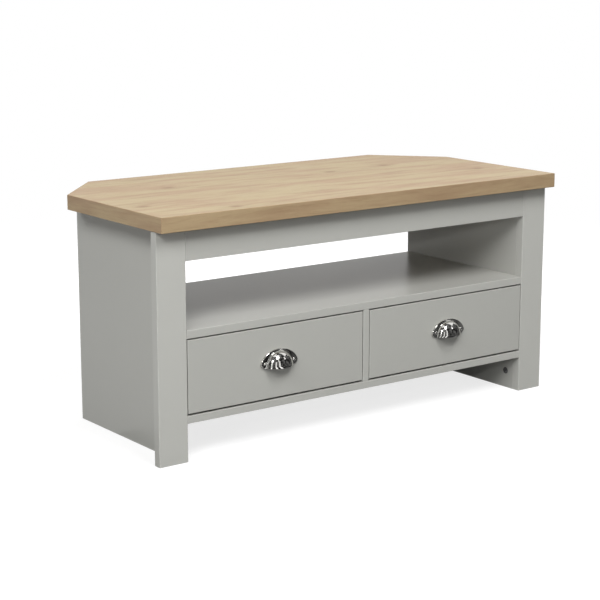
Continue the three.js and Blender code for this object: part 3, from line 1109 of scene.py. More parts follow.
class GeometryTree(NodeGroup):
    """A Geometry Nodes tree whose result becomes a plain mesh."""

    kind = "GeometryNodeTree"
    outputs = {"Geometry": "NodeSocketGeometry"}

    @staticmethod
    def dressed(wiring: Wiring, source: Sockets, last: bpy.types.Node) -> list[Socket]:
        """Make the instances of a shape real and give it the tree's finish.

        Args:
            wiring: The tree's wiring.
            source: The tree's inputs.
            last: The node that makes the shape.

        Returns:
            The socket of the result, in a list.
        """
        real = wiring.add("GeometryNodeRealizeInstances", {0: last.outputs[0]})
        inputs = {"Geometry": real.outputs[0], "Material": source["Finish"]}
        return [wiring.add("GeometryNodeSetMaterial", inputs).outputs[0]]

    @classmethod
    def run(cls, finish: Finish, **values: object) -> Mesh:
        """Run the tree by itself.

        Args:
            finish: The finish of what it makes.
            **values: The values of its other inputs.

        Returns:
            What it makes.
        """
        tree = cls.tree()
        sockets = {item.name: item.identifier for item in tree.interface.items_tree}
        base = linked(cls.name, bpy.data.meshes.new(cls.name))
        modifier = base.modifiers.new(cls.name, "NODES")
        modifier.node_group = tree
        modifier[sockets["Finish"]] = finish.material()
        for name, value in values.items():
            modifier[sockets[name.capitalize()]] = value
        made = plain_mesh(base)
        discard(base)
        return made


@dataclass
class Piece:
    """A finished object, with what it rides on and the nodes that it stands for."""

    obj: Object
    finish: Finish
    body: str
    nodes: tuple[str, ...]
    trim: Finish | None = None


@dataclass
class SubAssembly:
    """Pieces that are built and dressed together."""

    body: str
    pieces: list[Piece] = field(default_factory=list, init=False)

    def build(self) -> None:
        """Build the pieces' meshes."""
        raise NotImplementedError

    def keep(
        self,
        obj: Object,
        finish: Finish,
        *nodes: str,
        body: str = "",
        trim: Finish | None = None,
    ) -> None:
        """Note a piece that is built.

        Args:
            obj: The piece's object.
            finish: Its finish.
            *nodes: The nodes that it stands for.
            body: The body it rides on, if not the sub-assembly's.
            trim: The finish of the faces whose material index is 1.
        """
        self.pieces.append(Piece(obj, finish, body or self.body, nodes, trim))

    def keep_board(self, node: str, ease: float, finish: Finish) -> Object:
        """Build a board with rounded edges and note it.

        Args:
            node: The board's node.
            ease: The radius of its edges.
            finish: Its finish.

        Returns:
            The board's object.
        """
        board = eased_board(node, ease)
        self.keep(board, finish, node)
        return board

    def dress(self) -> None:
        """Give each piece its material and its body, and hide the nodes that it stands for."""
        for piece in self.pieces:
            trims = [face.material_index if piece.trim else 0 for face in piece.obj.data.polygons]
            piece.obj.data.materials.clear()
            for finish in (piece.finish, piece.trim):
                if finish:
                    piece.obj.data.materials.append(finish.material())
            piece.obj.data.polygons.foreach_set("material_index", trims)
            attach(piece.obj, piece.body)
            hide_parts(*piece.nodes)
            log.info("%s: %d faces, rides on %s", piece.obj.name, len(trims), piece.body)


class Recess(Enum):
    """What a fastener's head has for its driver."""

    NONE = "none"
    CROSS = "cross"


@dataclass(frozen=True)
class Fastener:
    """A screw or nail, modelled once at the origin with its head towards +Z."""

    name: str
    head_radius: float
    head_height: float
    dome: float
    recess: Recess = Recess.CROSS
    recess_width: float = 0.0009
    recess_depth: float = 0.0011
    recess_reach: float = 0.56
    shank_radius: float = 0.0016
    shank_length: float = 0.006
    dome_steps: int = 5

    def model(self) -> Object:
        """Make the pattern object that a row of fasteners repeats.

        Returns:
            The pattern object.
        """
        rim = self.head_height - self.dome
        quarter = arc((0.0, 0.0), 1.0, 0, 90, self.dome_steps)
        profile = [
            (0.0, -self.shank_length),
            (self.shank_radius, -self.shank_length),
            (self.shank_radius, 0.0),
            (self.head_radius, 0.0),
            *[(self.head_radius * x, rim + self.dome * z) for x, z in quarter],
        ]
        mesh = bmesh.new()
        turned(mesh, profile, (0, 0, 0), UP, SCREW_SEGMENTS)
        obj = closed_object(mesh, self.name)
        if self.recess is Recess.CROSS:
            self.cut_cross(obj)
        return obj

    def cut_cross(self, obj: Object) -> None:
        """Cut the driver's cross into the head.

        Args:
            obj: The pattern object.
        """
        reach = self.head_radius * self.recess_reach
        half = self.recess_width / 2
        floor = self.head_height - self.recess_depth
        for x, y in ((reach, half), (half, reach)):
            cut_box(obj, (-x, -y, floor), (x, y, self.head_height * 2))


PANEL_NAIL = Fastener(
    "panel_nail",
    head_radius=0.0021,
    head_height=0.0006,
    dome=0.0003,
    recess=Recess.NONE,
    shank_radius=0.0007,
    shank_length=0.012,
)
HANDLE_SCREW = Fastener(
    "handle_screw", head_radius=0.0033, head_height=0.0017, dome=0.0012, shank_length=0.013
)
RUNNER_SCREW = Fastener(
    "runner_screw",
    head_radius=0.0029,
    head_height=0.0003,
    dome=0.0002,
    recess_width=0.0007,
    recess_depth=0.0009,
    shank_length=0.004,
)


class FastenerRow(GeometryTree):
    """Repeats a fastener along a straight row, each turned by chance round its axis."""

    name = "fastener_row"
    inputs = {
        "Pattern": "NodeSocketObject",
        "Count": WHOLE,
        "Start": VECTOR,
        "Step": VECTOR,
        "Facing": VECTOR,
        "Seed": WHOLE,
        "Finish": MATERIAL,
    }

    @classmethod
    def wire(cls, wiring: Wiring, source: Sockets) -> list[Socket]:
        """Put the fastener on each point of a line; see NodeGroup.wire."""
        places = {"Start Location": source["Start"], "Offset": source["Step"]}
        inputs = {"Count": source["Count"], **places}
        line = wiring.add("GeometryNodeMeshLine", inputs, mode="OFFSET")
        pattern = wiring.add("GeometryNodeObjectInfo", {"Object": source["Pattern"]})
        facing = {"Vector": source["Facing"]}
        aligned = wiring.add("FunctionNodeAlignRotationToVector", facing, axis="Z")
        inputs = {"Min_001": 0.0, "Max_001": math.pi, "Seed": source["Seed"]}
        roll = wiring.find(wiring.add("FunctionNodeRandomValue", inputs).outputs, "Value_001")
        inputs = {"Rotation": aligned.outputs[0], "Rotate By": wiring.join(0.0, 0.0, roll)}
        spun = wiring.add("FunctionNodeRotateRotation", inputs, rotation_space="LOCAL")
        inputs = {
            "Points": line.outputs[0],
            "Instance": pattern.outputs["Geometry"],
            "Rotation": spun.outputs[0],
        }
        return cls.dressed(wiring, source, wiring.add("GeometryNodeInstanceOnPoints", inputs))


@dataclass(frozen=True)
class Row:
    """A straight row of fasteners: its first place, its step, its count and where it faces."""

    start: Point
    step: Point
    count: int
    facing: Point
    seed: int = 1


def fasten(name: str, fastener: Fastener, finish: Finish, rows: Sequence[Row]) -> Object:
    """Lay rows of a fastener and join them into one mesh.

    Args:
        name: The object's name.
        fastener: The fastener that is repeated.
        finish: Its finish.
        rows: The rows.

    Returns:
        The object that holds all the rows.
    """
    pattern = fastener.model()
    mesh = bmesh.new()
    for row in rows:
        mesh.from_mesh(FastenerRow.run(finish, pattern=pattern, **vars(row)))
    discard(pattern)
    return new_object(mesh, name)


@dataclass
class OakTop(SubAssembly):
    """The six-sided oak-effect top, with a band of its own grain along each edge, coloured darker
    as painted shade.

    The grain is shifted once for each band_turn degrees that a band is turned. level, nearly_level
    and nearly_upright are limits of a part of a face's normal, and least_flat is an area.
    """

    body: str = "carcass"
    node: str = "top_panel"
    side_length: float = 0.352
    corner_width: float = 0.125
    ease: float = 0.0012
    band_thickness: float = 0.0008
    bolt_clearance: float = 0.0003
    band_shift: float = 3.7
    band_turn: float = 15.0
    level: float = 0.999
    nearly_level: float = 0.9
    nearly_upright: float = 0.1
    least_flat: float = 0.001

    def build(self) -> None:
        """Build the slab, round its edges and drill it for the cam bolts."""
        low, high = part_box(self.node)
        bend = low.y + self.side_length
        corner = high.x - self.corner_width
        outline = [
            (low.x, low.y, low.z),
            (high.x, low.y, low.z),
            (high.x, bend, low.z),
            (corner, high.y, low.z),
            (-corner, high.y, low.z),
            (low.x, bend, low.z),
        ]
        mesh = prism(outline, (0, 0, high.z - low.z))
        ease_edges(mesh, mesh.edges[:], self.ease)
        flats = [face for face in mesh.faces if abs(face.normal.z) > self.level]
        bmesh.ops.inset_region(mesh, faces=flats, thickness=self.band_thickness)
        mesh.normal_update()
        obj = new_object(mesh, "oak_top")
        for place in ("top_front", "top_rear"):
            for hand in HANDS:
                self.drill(obj, f"{hand}_{place}_cam_bolt")
        self.map_grain(obj, low, high)
        # The edge bands' darker finish is painted shade.
        self.keep(obj, OAK, self.node, trim=OAK_EDGING_PAINTED_SHADE)

    def drill(self, obj: Object, bolt: str) -> None:
        """Drill the hole that a cam bolt's thread fills.

        Args:
            obj: The top's object.
            bolt: The bolt's node.
        """
        low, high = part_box(bolt)
        radius = (high.x - low.x) / 2 + self.bolt_clearance
        depth = high.z - low.z + self.bolt_clearance
        start = ((low.x + high.x) / 2, (low.y + high.y) / 2, low.z)
        profile = [(0.0, 0.0), (radius, 0.0), (radius, depth), (0.0, depth)]
        tool = bmesh.new()
        turned(tool, profile, start, UP, SCREW_SEGMENTS)
        carve(obj, tool)

    def map_grain(self, obj: Object, low: Vector, high: Vector) -> None:
        """Run the grain along the width on the flats, and along each edge on the bands.

        Args:
            obj: The top's object.
            low: The slab's lowest corner.
            high: The slab's highest corner.
        """
        grain = obj.data.uv_layers.new(name=GRAIN_MAP)
        for face in obj.data.polygons:
            on_flat = abs(face.normal.z) > self.nearly_level and face.area > self.least_flat
            side = Vector((face.normal.x, face.normal.y, 0))
            if side.length < self.nearly_upright:
                side = self.nearest_side(face.center, low, high)
            side.normalize()
            along = UP.cross(side)
            turns = round(math.degrees(math.atan2(side.y, side.x)) / self.band_turn)
            shift = self.band_shift * (1 + turns)
            face.material_index = 0 if on_flat else 1
            for index in face.loop_indices:
                place = obj.data.vertices[obj.data.loops[index].vertex_index].co
                spot = (place.x, place.y)
                if not on_flat:
                    spot = (place.dot(along), place.z + place.dot(side) + shift)
                grain.data[index].uv = spot

    def nearest_side(self, place: Vector, low: Vector, high: Vector) -> Vector:
        """Return the direction of the edge band nearest to a place on the flat.

        Args:
            place: The place.
            low: The slab's lowest corner.
            high: The slab's highest corner.

        Returns:
            The band's outward direction.
        """
        bend = low.y + self.side_length
        slant = Vector((high.y - bend, self.corner_width, 0)).normalized()
        inward = Vector((high.x - abs(place.x), bend - place.y, 0))
        gaps = {
            (0, -1, 0): place.y - low.y,
            (0, 1, 0): high.y - place.y,
            (math.copysign(1, place.x), 0, 0): inward.x,
            (math.copysign(slant.x, place.x), slant.y, 0): inward.dot(slant),
        }
        return Vector(min(gaps, key=gaps.get))


@dataclass
class Carcass(SubAssembly):
    """The painted boards and the hardboard back panel with its nails."""

    body: str = "carcass"
    post_ease: float = 0.001
    board_ease: float = 0.0007
    panel_ease: float = 0.0003
    nail_inset: float = 0.03
    nails_across: int = 9
    nails_up: int = 3
    boards: tuple[str, ...] = (
        "left_side_panel",
        "right_side_panel",
        "front_rail",
        "rear_rail",
        "shelf",
        "bottom_panel",
        "drawer_divider",
    )

    def build(self) -> None:
        """Build the posts, the boards, the back panel and its nails."""
        for hand in HANDS:
            # The posts take the lightened grey paint, which is painted light.
            self.keep_board(f"{hand}_post", self.post_ease, POST_PAINT_PAINTED_LIGHT)
        for board in self.boards:
            self.keep_board(board, self.board_ease, PAINT)
        lay_grain(self.keep_board("back_panel", self.panel_ease, HARDBOARD))
        self.keep(self.nails(), ZINC)

    def nails(self) -> Object:
        """Lay the nails that hold the back panel to the shelf, the bottom and the divider.

        Returns:
            The nails' object.
        """
        low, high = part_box("back_panel")
        shelf_low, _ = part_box("shelf")
        _, bottom_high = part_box("bottom_panel")
        first = low.x + self.nail_inset
        step = (high.x - low.x - 2 * self.nail_inset) / (self.nails_across - 1)
        heights = ((low.z + bottom_high.z) / 2, (shelf_low.z + high.z) / 2)
        rows = [
            Row((first, high.y, height), (step, 0, 0), self.nails_across, BACKWARD, seed)
            for seed, height in enumerate(heights)
        ]
        rise = (heights[1] - heights[0]) / (self.nails_up + 1)
        start = (0, high.y, heights[0] + rise)
        rows.append(Row(start, (0, 0, rise), self.nails_up, BACKWARD))
        return fasten("back_panel_nails", PANEL_NAIL, ZINC, rows)


class ThreadRidge(GeometryTree):
    """Winds a screw thread's ridge up from the origin along +Z."""

    name = "helical_thread"
    inputs = {"Core": FLOAT, "Depth": FLOAT, "Turns": FLOAT, "Rise": FLOAT, "Finish": MATERIAL}
    steps_round = 18
    section_corners = 4

    @classmethod
    def wire(cls, wiring: Wiring, source: Sockets) -> list[Socket]:
        """Sweep a small section along a spiral; see NodeGroup.wire."""
        radii = {"Start Radius": source["Core"], "End Radius": source["Core"]}
        inputs = {"Rotations": source["Turns"], "Height": source["Rise"], **radii}
        steps = {"Resolution": cls.steps_round}
        spiral = wiring.add("GeometryNodeCurveSpiral", {**steps, **inputs})
        inputs = {"Resolution": cls.section_corners, "Radius": source["Depth"]}
        section = wiring.add("GeometryNodeCurvePrimitiveCircle", inputs)
        inputs = {0: spiral.outputs[0], 1: section.outputs[0], "Fill Caps": True}
        return cls.dressed(wiring, source, wiring.add("GeometryNodeCurveToMesh", inputs))


@dataclass
class CamFittings(SubAssembly):
    """The cam locks in the side panels and the bolts that they draw in.

    arrow_tip, arrow_foot and arrow_half are shares of the cam's radius, thread_taper is one of the
    thread's core, and head_back and head_face are ones of the head's radius.
    """

    body: str = "carcass"
    places: tuple[str, ...] = ("post", "top_front", "top_rear")
    rim_ease: float = 0.0004
    cross_length: float = 0.0085
    cross_width: float = 0.0018
    cross_depth: float = 0.002
    arrow_tip: float = 0.86
    arrow_foot: float = 0.66
    arrow_half: float = 0.16
    arrow_depth: float = 0.0004
    window_half: float = 0.0033
    window_start: float = -0.0024
    thread_length: float = 0.0105
    thread_pitch: float = 0.0016
    thread_depth: float = 0.0006
    thread_taper: float = 0.3
    shank_radius: float = 0.0025
    shoulder: float = 0.0005
    neck_radius: float = 0.0018
    neck_length: float = 0.0024
    head_radius: float = 0.003
    head_length: float = 0.0026
    head_back: float = 0.85
    head_face: float = 0.8

    def build(self) -> None:
        """Build each cam and its bolt."""
        for hand, inward in HANDS.items():
            for place in self.places:
                node = f"{hand}_{place}_cam"
                towards = Vector(FORWARD) if place == "post" else UP
                self.keep(self.cam(node, inward, towards), BLACK_PLASTIC, node)
                bolt = f"{node}_bolt"
                self.keep(self.bolt(bolt, towards), ZINC, bolt)

    def cam(self, node: str, inward: float, towards: Vector) -> Object:
        """Build a cam: a drum with a driver's cross, an arrow and a window for the bolt.

        Args:
            node: The cam's node.
            inward: The sign of the way into the panel.
            towards: The direction of its bolt.

        Returns:
            The cam's object.
        """
        low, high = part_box(node)
        middle = (low + high) / 2
        radius = (high.z - low.z) / 2
        depth = high.x - low.x
        ease = self.rim_ease
        profile = [(0.0, 0.0), *arc((radius - ease, ease), ease, -90, 0, RIM_STEPS)]
        profile += [(radius, depth - ease), (radius - ease, depth), (0.0, depth)]
        face = Vector((side_of(node, -inward), middle.y, middle.z))
        mesh = bmesh.new()
        turned(mesh, profile, face, (inward, 0, 0))
        obj = closed_object(mesh, f"{node}_fitting")
        across = Vector((0, towards.z, -towards.y))
        sink = Vector((self.cross_depth, 0, 0))
        arms = (self.cross_length / 2, self.cross_width / 2)
        for along, aside in (arms, arms[::-1]):
            reach = towards * along + across * aside
            cut_box(obj, face - reach - sink, face + reach + sink)
        self.cut_arrow(obj, face, towards * radius, across * radius)
        start = middle + towards * self.window_start
        past_rim = middle + towards * radius * 2
        corner = (across + Vector((1, 0, 0))) * self.window_half
        cut_box(obj, start - corner, past_rim + corner)
        return obj

    def cut_arrow(self, obj: Object, face: Vector, towards: Vector, across: Vector) -> None:
        """Press the small arrow that shows where the cam opens.

        Args:
            obj: The cam's object.
            face: The middle of its face.
            towards: The way from there to the rim where it opens.
            across: The way from there to the rim beside it.
        """
        tip = face + towards * self.arrow_tip
        foot = face + towards * self.arrow_foot
        half = across * self.arrow_half
        deep = Vector((self.arrow_depth, 0, 0))
        corners = [corner - deep for corner in (tip, foot - half, foot + half)]
        carve(obj, prism(corners, deep * 2))

    def bolt(self, node: str, towards: Vector) -> Object:
        """Build a cam bolt with a turned body and a helical thread.

        Args:
            node: The bolt's node.
            towards: The direction from the cam to the bolt's thread.

        Returns:
            The bolt's object.
        """
        low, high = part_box(node)
        length = abs((high - low).dot(towards))
        core = (high.x - low.x) / 2 - self.thread_depth
        head = length - self.head_length
        neck = head - self.neck_length
        taper = core * self.thread_taper
        profile = [
            (0.0, 0.0),
            (core - taper, 0.0),
            (core, taper),
            (core, self.thread_length),
            (self.shank_radius, self.thread_length),
            (self.shank_radius, neck),
            (self.neck_radius, neck + self.shoulder),
            (self.neck_radius, head),
            (self.head_radius * self.head_back, head),
            (self.head_radius, length - self.head_length / 2),
            (self.head_radius * self.head_face, length),
            (0.0, length),
        ]
        tip = (low + high) / 2 + towards * (length / 2)
        mesh = bmesh.new()
        turned(mesh, profile, tip, -towards, PIN_SEGMENTS)
        bmesh.ops.recalc_face_normals(mesh, faces=mesh.faces)
        rise = self.thread_length - 2 * self.thread_depth
        sizes = {"core": core, "depth": self.thread_depth, "rise": rise}
        ridge = ThreadRidge.run(ZINC, turns=rise / self.thread_pitch, **sizes)
        turn = UP.rotation_difference(-towards).to_matrix().to_4x4()
        lift = Matrix.Translation((0, 0, self.thread_depth))
        ridge.transform(Matrix.Translation(tip) @ turn @ lift)
        mesh.from_mesh(ridge)
        return new_object(mesh, f"{node}_turned")


class FlutedBar(GeometryTree):
    """Shapes a cylinder along Z into a fluted dowel with chamfered ends."""

    name = "fluted_dowel"
    inputs = {
        "Radius": FLOAT,
        "Length": FLOAT,
        "Flutes": WHOLE,
        "Corners": WHOLE,
        "Depth": FLOAT,
        "Chamfer": FLOAT,
        "Finish": MATERIAL,
    }
    steps_along = 24

    @classmethod
    def wire(cls, wiring: Wiring, source: Sockets) -> list[Socket]:
        """Pull the cylinder's points in towards its axis; see NodeGroup.wire."""
        sizes = {"Radius": source["Radius"], "Depth": source["Length"]}
        inputs = {"Vertices": source["Corners"], "Side Segments": cls.steps_along, **sizes}
        bar = wiring.add("GeometryNodeMeshCylinder", inputs)
        x, y, z = wiring.split(wiring.add("GeometryNodeInputPosition").outputs[0])
        angle = wiring.math("ARCTAN2", y, x)
        wave = wiring.math("COSINE", wiring.math("MULTIPLY", angle, source["Flutes"]))
        groove = wiring.math("MULTIPLY_ADD", wave, 0.5, 0.5)
        share = wiring.math("DIVIDE", source["Depth"], source["Radius"])
        fluted = wiring.math("MULTIPLY", groove, share)
        half = wiring.math("MULTIPLY", source["Length"], 0.5)
        left = wiring.math("SUBTRACT", half, wiring.math("ABSOLUTE", z))
        steps = wiring.math("DIVIDE", left, source["Chamfer"])
        near = wiring.math("SUBTRACT", 1.0, steps, clamp=True)
        share = wiring.math("DIVIDE", source["Chamfer"], source["Radius"])
        pull = wiring.math("MULTIPLY", near, share)
        scale = wiring.math("SUBTRACT", wiring.math("SUBTRACT", 1.0, fluted), pull)
        moved = wiring.join(*[wiring.math("MULTIPLY", part, scale) for part in (x, y)], z)
        inputs = {"Geometry": bar.outputs[0], "Position": moved}
        return cls.dressed(wiring, source, wiring.add("GeometryNodeSetPosition", inputs))


@dataclass
class RailDowels(SubAssembly):
    """The fluted beech dowels between the front rail and the posts."""

    body: str = "carcass"
    flutes: int = 16
    flute_corners: int = 4
    flute_depth: float = 0.0004
    chamfer: float = 0.0012

    def build(self) -> None:
        """Build each dowel where its node is."""
        for hand in HANDS:
            for place in ("lower", "upper"):
                node = f"{hand}_rail_dowel_{place}"
                self.keep(self.dowel(node), BEECH, node)

    def dowel(self, node: str) -> Object:
        """Build one dowel.

        Args:
            node: The dowel's node.

        Returns:
            The dowel's object.
        """
        low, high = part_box(node)
        bar = FlutedBar.run(
            BEECH,
            radius=(high.z - low.z) / 2,
            length=high.x - low.x,
            flutes=self.flutes,
            corners=self.flutes * self.flute_corners,
            depth=self.flute_depth,
            chamfer=self.chamfer,
        )
        bar.transform(Matrix.Translation((low + high) / 2) @ Matrix.Rotation(math.pi / 2, 4, "Y"))
        mesh = bmesh.new()
        mesh.from_mesh(bar)
        obj = new_object(mesh, f"{node}_fluted")
        lay_grain(obj)
        return obj


@dataclass
class DrawerBox(SubAssembly):
    """One drawer's front and box."""

    hand: str = "left"
    boards: tuple[tuple[str, float, Finish], ...] = (
        # The front's grey paint is darkened, which is painted shade.
        ("front", 0.0009, FRONT_PAINT_PAINTED_SHADE),
        ("side_left", 0.0005, DRAWER_BOARD),
        ("side_right", 0.0005, DRAWER_BOARD),
        ("back", 0.0005, DRAWER_BOARD),
        ("bottom", 0.0002, DRAWER_BASE),
    )

    def build(self) -> None:
        """Build the front, the sides, the back and the bottom."""
        for name, ease, finish in self.boards:
            self.keep_board(f"{self.hand}_drawer_{name}", ease, finish)


@dataclass
class CupHandle(SubAssembly):
    """A chrome cup handle on an arched plate with a screw at each rounded end.

    lip_bulge is measured in halves of the wall, lip_growth is the share of the arc's steps over
    which the lip's bulge grows, and foot_crowding draws those steps together at the plate.
    """

    hand: str = "left"
    cup_half: float = 0.032
    cup_height: float = 0.033
    wall: float = 0.0016
    plate: float = 0.0035
    plate_rim: float = 0.003
    plate_ease: float = 0.0016
    foot_fillet: float = 0.0012
    corner_radius: float = 0.0095
    screw_half_spacing: float = 0.035
    screw_gap: float = 0.0002
    lip_bulge: float = 1.2
    lip_growth: float = 0.25
    foot_crowding: float = 1.15
    ease_steps: int = 7
    turn_steps: int = 104
    corner_steps: int = 12
    arc_steps: int = 26
    lip_steps: int = 6
    middle: float = field(init=False)
    back: float = field(init=False)
    rim: float = field(init=False)
    depth: float = field(init=False)

    def build(self) -> None:
        """Build the handle and its two screws."""
        node = f"{self.hand}_drawer_handle"
        low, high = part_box(node)
        self.middle = (low.x + high.x) / 2
        self.back = high.y
        self.rim = low.z
        self.depth = high.y - low.y
        self.keep(self.shell(f"{self.hand}_cup_handle"), CHROME, node)
        screws = [f"{self.hand}_handle_screw_{side}" for side in HANDS]
        start = (
            self.middle - self.screw_half_spacing,
            self.back - self.plate - self.screw_gap,
            self.rim + self.corner_radius,
        )
        row = Row(start, (2 * self.screw_half_spacing, 0, 0), 2, FORWARD, seed=7)
        heads = fasten(f"{self.hand}_handle_screws", HANDLE_SCREW, CHROME, [row])
        self.keep(heads, CHROME, *screws)

    @staticmethod
    def reach(angle: float, half: float, height: float) -> float:
        """Return how far an ellipse reaches from its centre.

        Args:
            angle: The direction, from the level to the right.
            half: The ellipse's half width.
            height: Its height.

        Returns:
            The distance from the centre to its edge.
        """
        return 1 / math.hypot(math.cos(angle) / half, math.sin(angle) / height)

    def plate_reach(self, angle: float) -> float:
        """Return how far the plate reaches: its rounded lower corner or its arch above it.

        Args:
            angle: The direction, from the level to the right.

        Returns:
            The distance from the middle of the rim to the plate's edge.
        """
        radius, spacing = self.corner_radius, self.screw_half_spacing
        along, up = abs(math.cos(angle)), math.sin(angle)
        nearest = spacing * along + radius * up
        room = nearest**2 - spacing**2
        corner = nearest + math.sqrt(max(room, 0.0))
        if room > -SAME_PLANE**2 and corner * up < radius:
            return corner
        height = self.cup_height + self.plate_rim
        half = (spacing + radius) / math.sqrt(1 - (radius / height) ** 2)
        return self.reach(angle, half, height)

    def directions(self) -> list[float]:
        """Return the directions of the sections, closer together round the plate's corners.

        Returns:
            The angles, from the level on the right to the level on the left.
        """
        radius = self.corner_radius
        centre = (self.screw_half_spacing, radius)
        outline = arc(centre, radius, -90, 0, self.corner_steps)
        corner = [math.atan2(up, along) for along, up in outline]
        span = math.pi - 2 * corner[-1]
        arch = [corner[-1] + span * step / self.turn_steps for step in range(1, self.turn_steps)]
        return corner + arch + [math.pi - angle for angle in reversed(corner)]

    def section(self, angle: float) -> tuple[list[Pair], list[tuple[Pair, Pair]], float]:
        """Return a section of the handle through its front, at an angle round the cup.

        Args:
            angle: The direction of the section, from the level to the right.

        Returns:
            The plate's points from its back edge on, the cup's points on its outer and inner wall,
            each as a pair of distance from the middle and depth, and how far the hollow reaches.
        """
        ease = self.plate_ease
        edge = self.plate_reach(angle)
        round_edge = arc((edge - ease, self.plate - ease), ease, 0, 90, self.ease_steps)
        cup = self.reach(angle, self.cup_half, self.cup_height)
        hollow = self.reach(angle, self.cup_half - self.wall, self.cup_height - self.wall)
        start = math.asin(self.plate / self.depth)
        walls = []
        for step in range(self.arc_steps):
            share = (step / self.arc_steps) ** self.foot_crowding
            turn = start + (math.pi / 2 - start) * share
            depth = self.depth * math.sin(turn)
            above = min(max((depth - self.plate) / self.foot_fillet, 0), 1)
            flare = self.foot_fillet * (1 - math.sqrt(1 - (1 - above) ** 2))
            inner = (hollow * math.cos(turn), (self.depth - self.wall) * math.sin(turn))
            walls.append(((cup * math.cos(turn) + flare, depth), inner))
        return [(edge, 0.0), *round_edge], walls, hollow

    def shell(self, name: str) -> Object:
        """Build the cup and its plate as one closed shell with a rounded lip.

        Args:
            name: The piece's name.

        Returns:
            The handle's object.
        """
        mesh = bmesh.new()

        def vertex(angle: float, spot: Pair) -> Vertex:
            """Add the vertex of a section's point."""
            x = self.middle + spot[0] * math.cos(angle)
            z = self.rim + spot[0] * math.sin(angle)
            return mesh.verts.new((x, self.back - spot[1], z))

        outer_tip = vertex(0, (0.0, self.depth))
        inner_tip = vertex(0, (0.0, self.depth - self.wall))
        rows = []
        for angle in self.directions():
            outline, pairs, hollow = self.section(angle)
            outer = [vertex(angle, spot) for spot in outline]
            outer += [vertex(angle, spot) for spot, _ in pairs]
            inner = [vertex(angle, (hollow, 0.0))] + [vertex(angle, spot) for _, spot in pairs]
            rows.append((outer, inner, len(outline)))
        for (outer, inner, _), (next_outer, next_inner, _) in pairwise(rows):
            chain = [*reversed(outer), *inner]
            after = [*reversed(next_outer), *next_inner]
            for (first, third), (second, fourth) in zip(pairwise(chain), pairwise(after)):
                mesh.faces.new([first, third, fourth, second])
            mesh.faces.new([outer_tip, chain[0], after[0]])
            mesh.faces.new([inner_tip, after[-1], chain[-1]])
        tips = self.lip_points(mesh, outer_tip, inner_tip, 1.0)
        for outer, inner, plain in (rows[0], rows[-1]):
            self.close_rim(mesh, outer, inner, plain, tips)
        return closed_object(mesh, name)

    def lip_points(self, mesh: Shape, outer: Vertex, inner: Vertex, share: float) -> list[Vertex]:
        """Add the points of the rounded lip between the outer and the inner wall.

        Args:
            mesh: The handle's mesh.
            outer: The outer wall's vertex.
            inner: The inner wall's vertex.
            share: The share of the lip's full bulge.

        Returns:
            The lip's vertices from the outer to the inner wall, both included.
        """
        middle = (outer.co + inner.co) / 2
        half = (outer.co - inner.co) / 2
        drop = UP * (half.length * self.lip_bulge * share)
        turns = [math.pi * step / self.lip_steps for step in range(1, self.lip_steps)]
        between = [middle + half * math.cos(turn) - drop * math.sin(turn) for turn in turns]
        return [outer, *[mesh.verts.new(place) for place in between], inner]

    def close_rim(
        self,
        mesh: Shape,
        outer: list[Vertex],
        inner: list[Vertex],
        plain: int,
        tips: list[Vertex],
    ) -> None:
        """Close one side of the rim with the rounded lip and the plate's flat foot.

        Args:
            mesh: The handle's mesh.
            outer: The outer line of the last section.
            inner: The inner line of it.
            plain: The number of the outer line's points on the plate.
            tips: The lip's vertices at the cup's front.
        """
        strips = []
        for index, (wall, hollow) in enumerate(zip(outer[plain:], inner[1:])):
            share = min(index / (self.arc_steps * self.lip_growth), 1.0)
            strips.append(self.lip_points(mesh, wall, hollow, share))
        strips.append(tips)
        for strip, after in pairwise(strips):
            for (first, second), (third, fourth) in zip(pairwise(strip), pairwise(after)):
                mesh.faces.new([first, second, fourth, third])
        mesh.faces.new([*outer[:plain], *strips[0], inner[0]])


